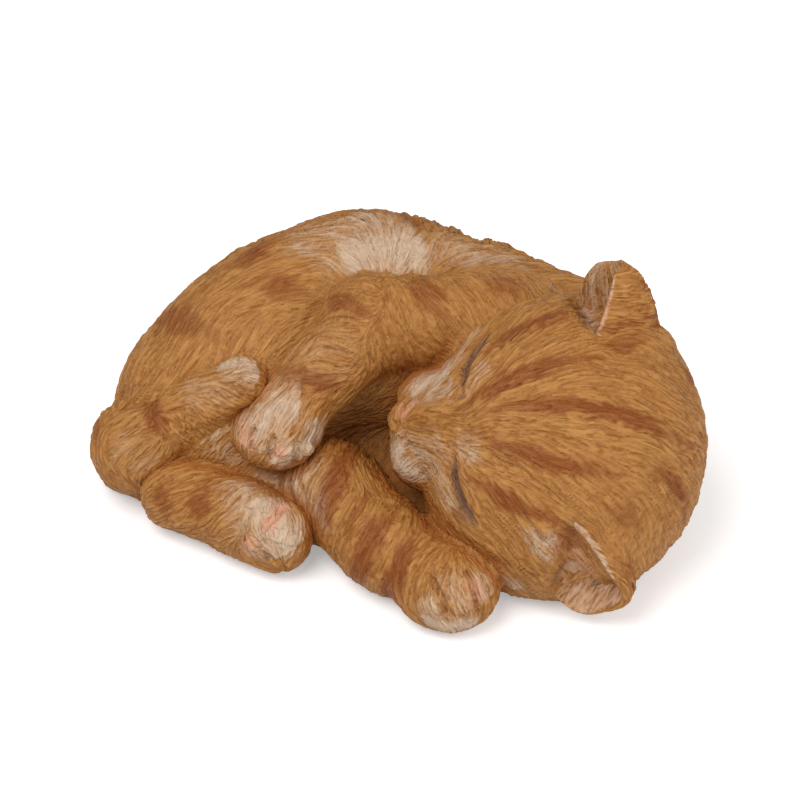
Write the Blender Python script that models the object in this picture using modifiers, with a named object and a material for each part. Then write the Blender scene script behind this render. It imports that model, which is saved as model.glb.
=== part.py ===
# Sleeping kitten ornament: painted resin castings that are pinned and bonded together.
# The kitten lies on its left side, curled up, with its nose towards -X and its spine along the far side.
# Units are metres and +Z is up. The origin is on the underside of the felt pad, and every height
# in the lists of places is measured from the flat underside of the castings.
import math

import bmesh
import bpy
import numpy as np
from mathutils import Vector

# Fits and thicknesses
BOND_GAP = 0.0003
CUT_GAP = 0.0004
FELT_THICKNESS = 0.0015
FELT_INSET = 0.0035
WALL = 0.0055
PLATE_THICKNESS = 0.0035
PLATE_LEDGE = 0.0025
PLATE_SHELF = 0.002
EAR_WALL = 0.0018
EAR_TENON = 0.0030
EAR_TIP_THINNING = 0.6

# Pins
LIMB_PIN_RADIUS = 0.0015
LIMB_PIN_LENGTH = 0.011
LIMB_PIN_SIDES = 16
LEFT_HIND_PIN_SHARE = 0.3
NECK_DOWEL_RADIUS = 0.004
NECK_DOWEL_LENGTH = 0.024
NECK_DOWEL_SIDES = 24
NECK_DOWEL_AIM_FROM_SHOULDER = (0.0, 0.012, 0.0)

# Trunk, from the rump round the spine to the shoulder: where each swelling is and its half sizes
RUMP = (-0.046, 0.011, 0.0176)
RUMP_RADII = (0.027, 0.0215, 0.023)
LOIN = (-0.0355, 0.0225, 0.0198)
LOIN_RADII = (0.026, 0.0245, 0.033)
BACK = (-0.0085, 0.032, 0.0228)
BACK_RADII = (0.0345, 0.0285, 0.036)
WITHERS = (0.022, 0.028, 0.0184)
WITHERS_RADII = (0.027, 0.0255, 0.031)
SHOULDER = (0.045, 0.017, 0.0178)
SHOULDER_RADII = (0.0235, 0.023, 0.0295)
GROIN = (-0.042, 0.004, 0.0082)
GROIN_RADII = (0.022, 0.014, 0.012)
BREAST = (0.006, 0.014, 0.0322)
BREAST_RADII = (0.026, 0.014, 0.016)
BELLY = (-0.004, 0.000, 0.0002)
BELLY_RADII = (0.042, 0.025, 0.012)

# Head. Its own directions are to the nose, to the right ear and to the crown,
# and the angles turn them from the view that looks down at FACE_TILT from the front.
HEAD_CENTRE = (0.0413, -0.0160, 0.0262)
HEAD_RADII = (0.0348, 0.0382, 0.031)
FACE_TILT = 40.0
NOSE_TURN = 9.0
CROWN_ROLL = 10.0
FOREHEAD = (0.018, 0.000, 0.007)
FOREHEAD_RADII = (0.015, 0.020, 0.016)
CHEEK = (0.011, 0.021, -0.006)
CHEEK_RADII = (0.019, 0.014, 0.018)
BRIDGE = (0.023, 0.000, 0.015)
BRIDGE_RADIUS = 0.008
NOSE = (0.039, 0.000, 0.003)
NOSE_RADIUS = 0.0055
MUZZLE = (0.0315, 0.000, -0.003)
MUZZLE_RADII = (0.0095, 0.013, 0.010)
LIP = (0.035, 0.0072, -0.003)
LIP_RADII = (0.0081, 0.0078, 0.008)
CHIN = (0.032, 0.000, -0.013)
CHIN_RADII = (0.009, 0.008, 0.007)

# Ears: the seat as shares of the head's half sizes, then three places from root to tip down the rim
# near the crown and down the outer rim, and how far the back of the ear bulges behind them.
# The left ear is given as its mirror image.
RIGHT_EAR_SEAT_SHARE = (0.04, 0.75, 0.38)
RIGHT_EAR_INNER = ((-0.003, -0.005, 0.008), (-0.006, 0.0065, 0.0102), (-0.0066, 0.0138, 0.0086))
RIGHT_EAR_OUTER = ((0.002, 0.0055, -0.008), (-0.001, 0.013, 0.000), (-0.006, 0.0162, 0.0024))
RIGHT_EAR_BULGE = ((-0.019, -0.005, -0.002), (-0.0126, -0.001, 0.000), (-0.0018, 0.000, 0.000))
LEFT_EAR_SEAT_SHARE = (0.172, 0.717, 0.394)
LEFT_EAR_INNER = ((-0.007, -0.0072, 0.0094), (-0.016, 0.0008, 0.0079), (-0.0228, 0.0084, 0.0034))
LEFT_EAR_OUTER = ((-0.006, 0.0076, -0.0077), (-0.0136, 0.0130, -0.0076), (-0.0208, 0.0118, -0.0044))
LEFT_EAR_BULGE = ((-0.017, -0.0015, -0.002), (-0.0116, -0.0005, -0.002), (-0.002, 0.000, 0.000))

# Right foreleg, laid over the breast and folded back: each place is measured from the one before it
BLADE_FROM_BREAST = (0.022, -0.001, 0.010)
BLADE_RADIUS = 0.0135
ELBOW_FROM_BLADE = (-0.035, -0.005, 0.005)
ELBOW_RADIUS = 0.011
WRIST_FROM_ELBOW = (-0.020, -0.013, -0.016)
RIGHT_WRIST_RADIUS = 0.009
RIGHT_PAW_FROM_WRIST = (-0.004, -0.0038, -0.0054)
RIGHT_PAW_RADII = (0.011, 0.011, 0.009)

# Left foreleg, stretched out along the floor under the chin, from the belly
FOREARM_FROM_BELLY = (-0.0132, -0.0138, 0.0104)
LEFT_FOREARM_RADIUS = 0.0126
LEFT_WRIST_FROM_FOREARM = (0.0136, -0.019, -0.0017)
LEFT_WRIST_RADIUS = 0.0108
LEFT_PAW_FROM_WRIST = (0.0158, -0.0136, -0.0015)
LEFT_PAW_RADII = (0.0118, 0.0110, 0.0095)

# Right hind leg, with its toes under the right forepaw, from the rump
RIGHT_HOCK_FROM_RUMP = (-0.0204, -0.012, -0.0037)
RIGHT_HOCK_RADII = (0.0125, 0.012, 0.013)
HEEL_FROM_HOCK = (0.0054, -0.002, 0.0043)
HEEL_RADIUS = 0.010
TOES_FROM_HEEL = (0.019, 0.0015, 0.016)
TOES_RADIUS = 0.0072

# Left hind leg, flat on the floor with its sole turned to the front, from the rump
LEFT_HOCK_FROM_RUMP = (-0.010, -0.0233, -0.0094)
LEFT_HOCK_RADIUS = 0.0096
SOLE_FROM_HOCK = (0.018, -0.0102, -0.0003)
SOLE_RADIUS = 0.0092
LEFT_TOES_FROM_SOLE = (0.007, -0.0053, 0.0)
LEFT_TOES_RADIUS = 0.0092

# Tail, lying on the floor round the rump, from the loin
TAIL_ROOT_FROM_LOIN = (-0.0095, 0.0185, -0.0126)
TAIL_ROOT_RADIUS = 0.009
TAIL_BEND_FROM_ROOT = (-0.021, -0.015, -0.003)
TAIL_BEND_RADIUS = 0.0065
TAIL_SIDE_FROM_BEND = (-0.007, -0.016, -0.0008)
TAIL_SIDE_RADIUS = 0.0054
TAIL_TURN_FROM_SIDE = (0.0018, -0.0078, -0.0006)
TAIL_TURN_RADIUS = 0.0047
TAIL_TIP_FROM_TURN = (0.0067, -0.0062, -0.0006)
TAIL_TIP_RADIUS = 0.0040

# Softness of the hollow where two swellings meet
DEEP_BLEND = 0.014
MID_BLEND = 0.010
SOFT_BLEND = 0.008
FINE_BLEND = 0.005
LIP_BLEND = 0.0035
TOE_BLEND = 0.003
THROAT_BRIDGE = 0.030

# How the surfaces are traced: the share of a step towards the surface that is taken each time,
# how many steps, the share of the rings that fan round each end, and the points round an outline
STEP_SHARE = 0.8
STEPS = 150
FAN_SHARE = 0.25
HEADING_REACH = 0.15
PLATE_OUTLINE_POINTS = 44
FELT_OUTLINE_POINTS = 48
EAR_GRID = 12
MOUTH_OVERRUN = 0.001
BENCH_SIZE = 0.3

UNDERSIDE = FELT_THICKNESS + BOND_GAP
LIFT = np.array((0.0, 0.0, UNDERSIDE))


# Collections and materials


def make_collection(name):
    collection = bpy.data.collections.new(name)
    bpy.context.scene.collection.children.link(collection)
    return collection


def make_material(name, colour, roughness, metallic=0.0):
    material = bpy.data.materials.new(name)
    material.use_nodes = True
    shader = material.node_tree.nodes["Principled BSDF"]
    shader.inputs["Base Color"].default_value = (*colour, 1.0)
    shader.inputs["Roughness"].default_value = roughness
    shader.inputs["Metallic"].default_value = metallic
    material.diffuse_color = (*colour, 1.0)
    return material


# Swellings, each with the distance from any points to its surface, negative inside


class Ball:
    def __init__(self, centre, radii, blend=0.0, turn=None):
        self.centre = np.array(centre)
        self.radii = np.array(radii)
        self.blend = blend
        self.turn = np.eye(3) if turn is None else turn

    def distance(self, points):
        local = (points - self.centre) @ self.turn
        scaled = np.linalg.norm(local / self.radii, axis=1)
        slope = np.linalg.norm(local / self.radii ** 2, axis=1) + 1e-9
        return scaled * (scaled - 1.0) / slope


class Taper:
    def __init__(self, start, start_radius, end, end_radius, blend=0.0):
        self.start = np.array(start)
        self.end = np.array(end)
        self.start_radius = start_radius
        self.end_radius = end_radius
        self.blend = blend

    def distance(self, points):
        run = self.end - self.start
        along = np.clip((points - self.start) @ run / (run @ run), 0.0, 1.0)
        radius = self.start_radius + (self.end_radius - self.start_radius) * along
        return np.linalg.norm(points - self.start - along[:, None] * run, axis=1) - radius


def form_distance(form, points):
    # Each swelling runs into those before it: where two surfaces are closer than the blend, the
    # hollow between them is filled by a quarter of the blend times the squared closeness.
    total = form[0].distance(points)
    for swelling in form[1:]:
        other = swelling.distance(points)
        closeness = np.maximum(1.0 - np.abs(total - other) / swelling.blend, 0.0)
        total = np.minimum(total, other) - closeness ** 2 * swelling.blend / 4.0
    return total


# Places and forms of the castings


def place(origin, offset):
    return np.array(origin) + np.array(offset)


def head_directions():
    # Columns: to the nose, to the right ear and to the crown.
    tilt = math.radians(FACE_TILT)
    turn = math.radians(NOSE_TURN)
    roll = math.radians(CROWN_ROLL)
    across = np.array((1.0, 0.0, 0.0))
    viewer = np.array((0.0, -math.cos(tilt), math.sin(tilt)))
    upward = np.array((0.0, math.sin(tilt), math.cos(tilt)))
    nose = math.sin(turn) * upward - math.cos(turn) * across
    side = math.sin(turn) * across + math.cos(turn) * upward
    crown = math.cos(roll) * viewer + math.sin(roll) * side
    ear = math.cos(roll) * side - math.sin(roll) * viewer
    return np.column_stack((nose, ear, crown))


HEAD_TURN = head_directions()
HEAD_MIDDLE = place(HEAD_CENTRE, LIFT)


def on_head(offset):
    return HEAD_MIDDLE + HEAD_TURN @ np.array(offset)


def mirrored(offset):
    return (offset[0], -offset[1], offset[2])


RUMP_BALL = Ball(place(RUMP, LIFT), RUMP_RADII)
LOIN_BALL = Ball(place(LOIN, LIFT), LOIN_RADII, DEEP_BLEND)
BACK_BALL = Ball(place(BACK, LIFT), BACK_RADII, DEEP_BLEND)
WITHERS_BALL = Ball(place(WITHERS, LIFT), WITHERS_RADII, DEEP_BLEND)
SHOULDER_BALL = Ball(place(SHOULDER, LIFT), SHOULDER_RADII, DEEP_BLEND)
GROIN_BALL = Ball(place(GROIN, LIFT), GROIN_RADII, SOFT_BLEND)
BREAST_BALL = Ball(place(BREAST, LIFT), BREAST_RADII, MID_BLEND)
BELLY_BALL = Ball(place(BELLY, LIFT), BELLY_RADII, SOFT_BLEND)

TRUNK = [RUMP_BALL, LOIN_BALL, BACK_BALL, WITHERS_BALL, SHOULDER_BALL]
BODY = TRUNK + [GROIN_BALL, BREAST_BALL, BELLY_BALL]
BODY_LINE = [RUMP_BALL.centre, (BACK_BALL.centre + BELLY_BALL.centre) / 2.0, SHOULDER_BALL.centre]

HEAD = [
    Ball(HEAD_MIDDLE, HEAD_RADII, turn=HEAD_TURN),
    Ball(on_head(FOREHEAD), FOREHEAD_RADII, MID_BLEND, HEAD_TURN),
    Ball(on_head(CHEEK), CHEEK_RADII, SOFT_BLEND, HEAD_TURN),
    Ball(on_head(mirrored(CHEEK)), CHEEK_RADII, SOFT_BLEND, HEAD_TURN),
    Taper(on_head(BRIDGE), BRIDGE_RADIUS, on_head(NOSE), NOSE_RADIUS, SOFT_BLEND),
    Ball(on_head(MUZZLE), MUZZLE_RADII, FINE_BLEND, HEAD_TURN),
    Ball(on_head(LIP), LIP_RADII, LIP_BLEND, HEAD_TURN),
    Ball(on_head(mirrored(LIP)), LIP_RADII, LIP_BLEND, HEAD_TURN),
    Ball(on_head(CHIN), CHIN_RADII, FINE_BLEND, HEAD_TURN),
]

BLADE = place(BREAST_BALL.centre, BLADE_FROM_BREAST)
ELBOW = place(BLADE, ELBOW_FROM_BLADE)
RIGHT_WRIST = place(ELBOW, WRIST_FROM_ELBOW)
RIGHT_PAW = place(RIGHT_WRIST, RIGHT_PAW_FROM_WRIST)
RIGHT_FORELEG = [
    Taper(BLADE, BLADE_RADIUS, ELBOW, ELBOW_RADIUS),
    Taper(ELBOW, ELBOW_RADIUS, RIGHT_WRIST, RIGHT_WRIST_RADIUS, FINE_BLEND),
    Ball(RIGHT_PAW, RIGHT_PAW_RADII, FINE_BLEND),
]

LEFT_FOREARM = place(BELLY_BALL.centre, FOREARM_FROM_BELLY)
LEFT_WRIST = place(LEFT_FOREARM, LEFT_WRIST_FROM_FOREARM)
LEFT_PAW = place(LEFT_WRIST, LEFT_PAW_FROM_WRIST)
LEFT_PAW_END_RADIUS = min(LEFT_WRIST_RADIUS, LEFT_PAW_RADII[2])
LEFT_FORELEG = [
    Taper(LEFT_FOREARM, LEFT_FOREARM_RADIUS, LEFT_WRIST, LEFT_WRIST_RADIUS),
    Taper(LEFT_WRIST, LEFT_WRIST_RADIUS, LEFT_PAW, LEFT_PAW_END_RADIUS, FINE_BLEND),
    Ball(LEFT_PAW, LEFT_PAW_RADII, FINE_BLEND),
]

RIGHT_HOCK = place(RUMP_BALL.centre, RIGHT_HOCK_FROM_RUMP)
RIGHT_HEEL = place(RIGHT_HOCK, HEEL_FROM_HOCK)
RIGHT_TOES = place(RIGHT_HEEL, TOES_FROM_HEEL)
RIGHT_HIND_LEG = [
    Ball(RIGHT_HOCK, RIGHT_HOCK_RADII),
    Taper(RIGHT_HEEL, HEEL_RADIUS, RIGHT_TOES, TOES_RADIUS, SOFT_BLEND),
]

LEFT_HOCK = place(RUMP_BALL.centre, LEFT_HOCK_FROM_RUMP)
LEFT_SOLE = place(LEFT_HOCK, SOLE_FROM_HOCK)
LEFT_TOES = place(LEFT_SOLE, LEFT_TOES_FROM_SOLE)
LEFT_HIND_LEG = [
    Taper(LEFT_HOCK, LEFT_HOCK_RADIUS, LEFT_SOLE, SOLE_RADIUS),
    Taper(LEFT_SOLE, SOLE_RADIUS, LEFT_TOES, LEFT_TOES_RADIUS, TOE_BLEND),
]

TAIL_ROOT = place(LOIN_BALL.centre, TAIL_ROOT_FROM_LOIN)
TAIL_BEND = place(TAIL_ROOT, TAIL_BEND_FROM_ROOT)
TAIL_SIDE = place(TAIL_BEND, TAIL_SIDE_FROM_BEND)
TAIL_TURN = place(TAIL_SIDE, TAIL_TURN_FROM_SIDE)
TAIL_TIP = place(TAIL_TURN, TAIL_TIP_FROM_TURN)
TAIL = [
    Taper(TAIL_ROOT, TAIL_ROOT_RADIUS, TAIL_BEND, TAIL_BEND_RADIUS),
    Taper(TAIL_BEND, TAIL_BEND_RADIUS, TAIL_SIDE, TAIL_SIDE_RADIUS, FINE_BLEND),
    Taper(TAIL_SIDE, TAIL_SIDE_RADIUS, TAIL_TURN, TAIL_TURN_RADIUS, FINE_BLEND),
    Taper(TAIL_TURN, TAIL_TURN_RADIUS, TAIL_TIP, TAIL_TIP_RADIUS, FINE_BLEND),
]

# Each casting's form, the line through its middle, and the segments and rings of its surface
CASTINGS = {
    "body_shell": (BODY, BODY_LINE, 44, 34),
    "head": (HEAD, [on_head((-0.012, 0.0, 0.0)), on_head((0.030, 0.0, -0.002))], 36, 30),
    "right_foreleg": (RIGHT_FORELEG, [BLADE, ELBOW, RIGHT_WRIST, RIGHT_PAW], 20, 30),
    "left_foreleg": (LEFT_FORELEG, [LEFT_FOREARM, LEFT_WRIST, LEFT_PAW], 20, 20),
    "right_hind_leg": (RIGHT_HIND_LEG, [RIGHT_HOCK, RIGHT_HEEL, RIGHT_TOES], 18, 20),
    "left_hind_leg": (LEFT_HIND_LEG, [LEFT_HOCK, LEFT_SOLE, LEFT_TOES], 18, 18),
    "tail": (TAIL, [TAIL_ROOT, TAIL_BEND, TAIL_SIDE, TAIL_TURN, TAIL_TIP], 14, 24),
}


# Surfaces


def along_line(line, share):
    # Points on a line through the given places, by the share of its length.
    knots = np.array(line)
    steps = np.linalg.norm(np.diff(knots, axis=0), axis=1)
    travelled = np.concatenate(((0.0,), np.cumsum(steps))) / steps.sum()
    share = np.clip(share, 0.0, 1.0)
    return np.column_stack([np.interp(share, travelled, knots[:, axis]) for axis in range(3)])


def reach_surface(distance, start, direction):
    # Every point travels from its start along its direction until it lies on the surface.
    travel = np.zeros(len(start))
    for _ in range(STEPS):
        travel -= STEP_SHARE * distance(start + travel[:, None] * direction)
    return start + travel[:, None] * direction


def wrap(name, distance, spine, segments, rings, collection):
    # A ball whose rings are shared out along the spine, with a fan of directions round each end.
    # Each vertex then travels outward from the spine until it reaches the form's surface.
    ball = bmesh.new()
    bmesh.ops.create_uvsphere(ball, u_segments=segments, v_segments=rings, radius=1.0)
    vertices = np.array([vertex.co[:] for vertex in ball.verts])
    polar = np.arccos(np.clip(vertices[:, 2], -1.0, 1.0)) / math.pi
    share = np.clip((polar - FAN_SHARE) / (1.0 - 2.0 * FAN_SHARE), 0.0, 1.0)
    start = along_line(spine, share)
    heading = along_line(spine, share + HEADING_REACH) - along_line(spine, share - HEADING_REACH)
    heading /= np.linalg.norm(heading, axis=1)[:, None]
    first_fan = np.clip(polar / FAN_SHARE, 0.0, 1.0) - 1.0
    last_fan = np.clip((polar - 1.0) / FAN_SHARE + 1.0, 0.0, 1.0)
    sideways = np.cross(heading, (0.0, 0.0, 1.0))
    sideways /= np.linalg.norm(sideways, axis=1)[:, None]
    upward = np.cross(sideways, heading)
    round_angle = np.arctan2(vertices[:, 1], vertices[:, 0])[:, None]
    radial = np.cos(round_angle) * sideways + np.sin(round_angle) * upward
    slant = ((first_fan + last_fan) * math.pi / 2.0)[:, None]
    direction = np.cos(slant) * radial + np.sin(slant) * heading
    for vertex, point in zip(ball.verts, reach_surface(distance, start, direction)):
        vertex.co = point
    # A casting and its grown copy are split along the same diagonals, so that the gap stays even
    bmesh.ops.triangulate(ball, faces=ball.faces[:], quad_method="FIXED")
    mesh = bpy.data.meshes.new(name)
    ball.to_mesh(mesh)
    ball.free()
    mesh.shade_smooth()
    thing = bpy.data.objects.new(name, mesh)
    collection.objects.link(thing)
    return thing


def cast(name, form, spine, segments, rings, grown, collection):
    def distance(points):
        return form_distance(form, points) - grown
    return wrap(name, distance, spine, segments, rings, collection)


def cut(thing, cutter):
    modifier = thing.modifiers.new("cut by " + cutter.name, "BOOLEAN")
    modifier.operation = "DIFFERENCE"
    modifier.solver = "EXACT"
    modifier.object = cutter


def board(name, outline, bottom, top, collection):
    # A flat board: a closed outline as a filled 2D curve, extruded to its thickness.
    curve = bpy.data.curves.new(name, "CURVE")
    curve.dimensions = "2D"
    curve.fill_mode = "BOTH"
    curve.extrude = (top - bottom) / 2.0
    line = curve.splines.new("POLY")
    line.points.add(len(outline) - 1)
    for point, place_on_floor in zip(line.points, outline):
        point.co = (*place_on_floor, 0.0, 1.0)
    line.use_cyclic_u = True
    flat = bpy.data.objects.new(name + "_curve", curve)
    flat.location = (0.0, 0.0, (top + bottom) / 2.0)
    collection.objects.link(flat)
    bpy.context.view_layer.update()
    evaluated = flat.evaluated_get(bpy.context.evaluated_depsgraph_get())
    mesh = bpy.data.meshes.new_from_object(evaluated)
    thing = bpy.data.objects.new(name, mesh)
    thing.matrix_world = flat.matrix_world
    collection.objects.link(thing)
    bpy.data.objects.remove(flat)
    welded = bmesh.new()
    welded.from_mesh(mesh)
    bmesh.ops.remove_doubles(welded, verts=welded.verts, dist=0.00001)
    welded.to_mesh(mesh)
    welded.free()
    return thing


def outline_at(distance, centre, height, count):
    # The closed line where a form crosses a level, seen outward from a centre.
    angle = np.linspace(0.0, 2.0 * math.pi, count, endpoint=False)
    direction = np.column_stack((np.cos(angle), np.sin(angle), np.zeros(count)))
    middle = np.tile((centre[0], centre[1], height), (count, 1))
    return reach_surface(distance, middle, direction)[:, :2]


def rod(name, middle, direction, radius, length, sides, collection):
    bar = bmesh.new()
    bmesh.ops.create_cone(
        bar, cap_ends=True, segments=sides, radius1=radius, radius2=radius, depth=length
    )
    mesh = bpy.data.meshes.new(name)
    bar.to_mesh(mesh)
    bar.free()
    mesh.shade_smooth()
    mesh.set_sharp_from_angle(angle=math.radians(40.0))
    thing = bpy.data.objects.new(name, mesh)
    thing.location = middle
    thing.rotation_mode = "QUATERNION"
    thing.rotation_quaternion = Vector(direction).to_track_quat("Z", "Y")
    collection.objects.link(thing)
    return thing


def through(places, share):
    # The parabola through three places, at shares 0, a half and 1.
    low = 2.0 * (share - 0.5) * (share - 1.0)
    middle = 4.0 * share * (1.0 - share)
    high = 2.0 * share * (share - 0.5)
    return low * places[0] + middle * places[1] + high * places[2]


def ear_sheet(name, side, seat_share, inner, outer, bulge, margin, collection):
    # A square grid bent into the ear: rows run from root to tip through three places of each rim,
    # columns from rim to rim, with the bulge largest halfway. Solidify gives the wall. A margin
    # makes the slot: the same sheet, thicker, and longer at its root and its two rims.
    sheet = bmesh.new()
    bmesh.ops.create_grid(sheet, x_segments=EAR_GRID, y_segments=EAR_GRID, size=1.0)
    grid = np.array([vertex.co[:] for vertex in sheet.verts])
    inner, outer, bulge = (np.array(places) for places in (inner, outer, bulge))
    length = np.linalg.norm(inner[2] - inner[0])
    width = np.linalg.norm(outer[0] - inner[0])
    root = -EAR_TENON / length
    at_root = grid[:, 1:2] == grid[:, 1].min()
    at_rim = np.abs(grid[:, 0:1]) == grid[:, 0].max()
    rise = root + (1.0 - root) * (grid[:, 1:2] + 1.0) / 2.0 - at_root * margin / length
    across = grid[:, 0:1] * (1.0 + at_rim * 2.0 * margin / width)
    shape = (1.0 - across) / 2.0 * through(inner, rise) + (1.0 + across) / 2.0 * through(outer, rise)
    middle = np.array(seat_share) * HEAD_RADII
    shape += (1.0 - across ** 2) * through(bulge, rise) + middle
    shape[:, 1] *= side
    seat = on_head((middle[0], middle[1] * side, middle[2]))
    for vertex, point in zip(sheet.verts, shape):
        vertex.co = on_head(point) - seat
    if side > 0:
        bmesh.ops.reverse_faces(sheet, faces=sheet.faces)
    bmesh.ops.triangulate(sheet, faces=sheet.faces[:], quad_method="FIXED")
    mesh = bpy.data.meshes.new(name)
    sheet.to_mesh(mesh)
    sheet.free()
    mesh.shade_smooth()
    thing = bpy.data.objects.new(name, mesh)
    thing.location = seat
    collection.objects.link(thing)
    solidify = thing.modifiers.new("wall", "SOLIDIFY")
    solidify.thickness = EAR_WALL + 2.0 * margin
    solidify.offset = 0.0
    # The wall thins from the root to the tip
    wall = thing.vertex_groups.new(name="wall")
    for index, height in enumerate(rise[:, 0]):
        wall.add([index], 1.0 - EAR_TIP_THINNING * max(height, 0.0) ** 2, "REPLACE")
    solidify.vertex_group = wall.name
    return thing


def seat_between(form, inner, outer):
    # Where the line from a place inside a form to one outside it crosses the surface.
    direction = (outer - inner) / np.linalg.norm(outer - inner)

    def distance(points):
        return form_distance(form, points)
    return reach_surface(distance, inner[None, :], direction[None, :])[0], direction


# The hollow in the trunk's casting, the recess for the plate, and the footprint


def hollow_distance(points, inset):
    return np.maximum(form_distance(TRUNK[:-1], points) + inset, inset - form_distance(HEAD, points))


def recess_distance(points, inset):
    above = points + (0.0, 0.0, PLATE_THICKNESS + PLATE_SHELF)
    return np.maximum(hollow_distance(points, inset), hollow_distance(above, inset))


def chamber_distance(points):
    floor = UNDERSIDE + PLATE_THICKNESS + BOND_GAP + PLATE_SHELF
    return np.maximum(hollow_distance(points, WALL), floor - points[:, 2])


def footprint_distance(points):
    # The trunk and the head together, with the notch at the throat bridged.
    body = form_distance(BODY, points)
    head = form_distance(HEAD, points)
    closeness = np.maximum(1.0 - np.abs(body - head) / THROAT_BRIDGE, 0.0)
    return np.minimum(body, head) - closeness ** 2 * THROAT_BRIDGE / 4.0 + FELT_INSET


# Build


for old in list(bpy.data.objects):
    bpy.data.objects.remove(old)
parts = make_collection("sleeping kitten ornament")
cutters = make_collection("cutters")

ginger = make_material("ginger fur paint", (0.55, 0.27, 0.08), 0.5)
board_black = make_material("black board", (0.02, 0.017, 0.015), 0.7)
felt_brown = make_material("brown felt", (0.035, 0.02, 0.014), 0.95)
steel = make_material("steel", (0.55, 0.55, 0.56), 0.3, 1.0)
beech = make_material("beech", (0.55, 0.38, 0.22), 0.6)

castings = {}
clearances = {}
for name, shape in CASTINGS.items():
    castings[name] = cast(name, *shape, 0.0, parts)
    clearances[name] = cast(name + "_clearance", *shape, CUT_GAP, cutters)

ears = {}
for name, *shape in (
    ("right_ear", 1.0, RIGHT_EAR_SEAT_SHARE, RIGHT_EAR_INNER, RIGHT_EAR_OUTER, RIGHT_EAR_BULGE),
    ("left_ear", -1.0, LEFT_EAR_SEAT_SHARE, LEFT_EAR_INNER, LEFT_EAR_OUTER, LEFT_EAR_BULGE),
):
    ears[name] = ear_sheet(name, *shape, 0.0, parts)
    cut(castings["head"], ear_sheet(name + "_slot", *shape, BOND_GAP, cutters))

# Everything below the castings' flat underside is cut away
bench_place = (0.0, 0.0, UNDERSIDE - BENCH_SIZE / 2.0)
bpy.ops.mesh.primitive_cube_add(size=BENCH_SIZE, location=bench_place)
bench = bpy.context.object
bench.name = "bench"
for collection in list(bench.users_collection):
    collection.objects.unlink(bench)
cutters.objects.link(bench)
for name in castings:
    if name != "right_foreleg":
        cut(castings[name], bench)

# Each casting is cut to lie against those before it
touching = {
    "body_shell": ("head",),
    "right_foreleg": ("body_shell", "head"),
    "right_hind_leg": ("body_shell", "right_foreleg"),
    "left_foreleg": ("body_shell", "head", "right_foreleg"),
    "left_hind_leg": ("body_shell", "right_hind_leg", "left_foreleg"),
    "tail": ("body_shell", "right_hind_leg", "left_hind_leg"),
}
for name, neighbours in touching.items():
    for neighbour in neighbours:
        cut(castings[name], clearances[neighbour])

# The chamber stops short of the shoulder, where the head is let into the trunk
plate_middle = (LOIN_BALL.centre + BACK_BALL.centre) / 2.0
chamber_end = (BACK_BALL.centre + WITHERS_BALL.centre) / 2.0
chamber_line = [RUMP_BALL.centre, plate_middle, chamber_end]
chamber = wrap("chamber", chamber_distance, chamber_line, 28, 22, cutters)


def plate_outline(inset):
    def distance(points):
        return recess_distance(points, inset)
    return outline_at(distance, plate_middle, UNDERSIDE, PLATE_OUTLINE_POINTS)


plate_top = UNDERSIDE + PLATE_THICKNESS
mouth_top = plate_top + BOND_GAP + PLATE_SHELF + MOUTH_OVERRUN
mouth = board("mouth", plate_outline(WALL), 0.0, mouth_top, cutters)
recess_line = plate_outline(WALL - PLATE_LEDGE - BOND_GAP)
recess = board("recess", recess_line, 0.0, plate_top + BOND_GAP, cutters)
for cutter in (chamber, mouth, recess):
    cut(castings["body_shell"], cutter)
base_plate = board("base_plate", plate_outline(WALL - PLATE_LEDGE), UNDERSIDE, plate_top, parts)

felt_middle = (BELLY_BALL.centre + BREAST_BALL.centre) / 2.0
felt_level = UNDERSIDE + FELT_THICKNESS
felt_line = outline_at(footprint_distance, felt_middle, felt_level, FELT_OUTLINE_POINTS)
felt_pad = board("felt_pad", felt_line, 0.0, FELT_THICKNESS, parts)


def pinned(name, casting, form, inner, outer, radius, length, sides):
    # A pin across the bond line between a casting and the trunk, with its hole in both.
    middle, direction = seat_between(form, inner, outer)
    pin = rod(name, middle, direction, radius, length, sides, parts)
    hole_radius = radius + BOND_GAP
    hole_length = length + 2.0 * BOND_GAP
    hole = rod(name + "_hole", middle, direction, hole_radius, hole_length, sides, cutters)
    cut(casting, hole)
    cut(castings["body_shell"], hole)
    return pin


limb_pin = (LIMB_PIN_RADIUS, LIMB_PIN_LENGTH, LIMB_PIN_SIDES)
left_hind_aim = LEFT_HOCK + LEFT_HIND_PIN_SHARE * (LEFT_SOLE - LEFT_HOCK)
pins = []
for name, inner, outer in (
    ("right_foreleg", BREAST_BALL.centre, (BLADE + ELBOW) / 2.0),
    ("left_foreleg", BELLY_BALL.centre, LEFT_FOREARM),
    ("right_hind_leg", RUMP_BALL.centre, RIGHT_HEEL),
    ("left_hind_leg", GROIN_BALL.centre, left_hind_aim),
    ("tail", LOIN_BALL.centre, TAIL_ROOT),
):
    pins.append(pinned(name + "_pin", castings[name], BODY, inner, outer, *limb_pin))

neck_pin = (NECK_DOWEL_RADIUS, NECK_DOWEL_LENGTH, NECK_DOWEL_SIDES)
neck_aim = place(SHOULDER_BALL.centre, NECK_DOWEL_AIM_FROM_SHOULDER)
neck_dowel = pinned("neck_dowel", castings["head"], HEAD, HEAD_MIDDLE, neck_aim, *neck_pin)

for thing in (*castings.values(), *ears.values()):
    thing.data.materials.append(ginger)
base_plate.data.materials.append(board_black)
felt_pad.data.materials.append(felt_brown)
neck_dowel.data.materials.append(beech)
for thing in pins:
    thing.data.materials.append(steel)

for cutter in cutters.objects:
    cutter.hide_render = True
    cutter.display_type = "WIRE"

root = bpy.data.objects.new("kitten", None)
parts.objects.link(root)
for thing in parts.objects:
    if thing is not root:
        thing.parent = root
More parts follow.
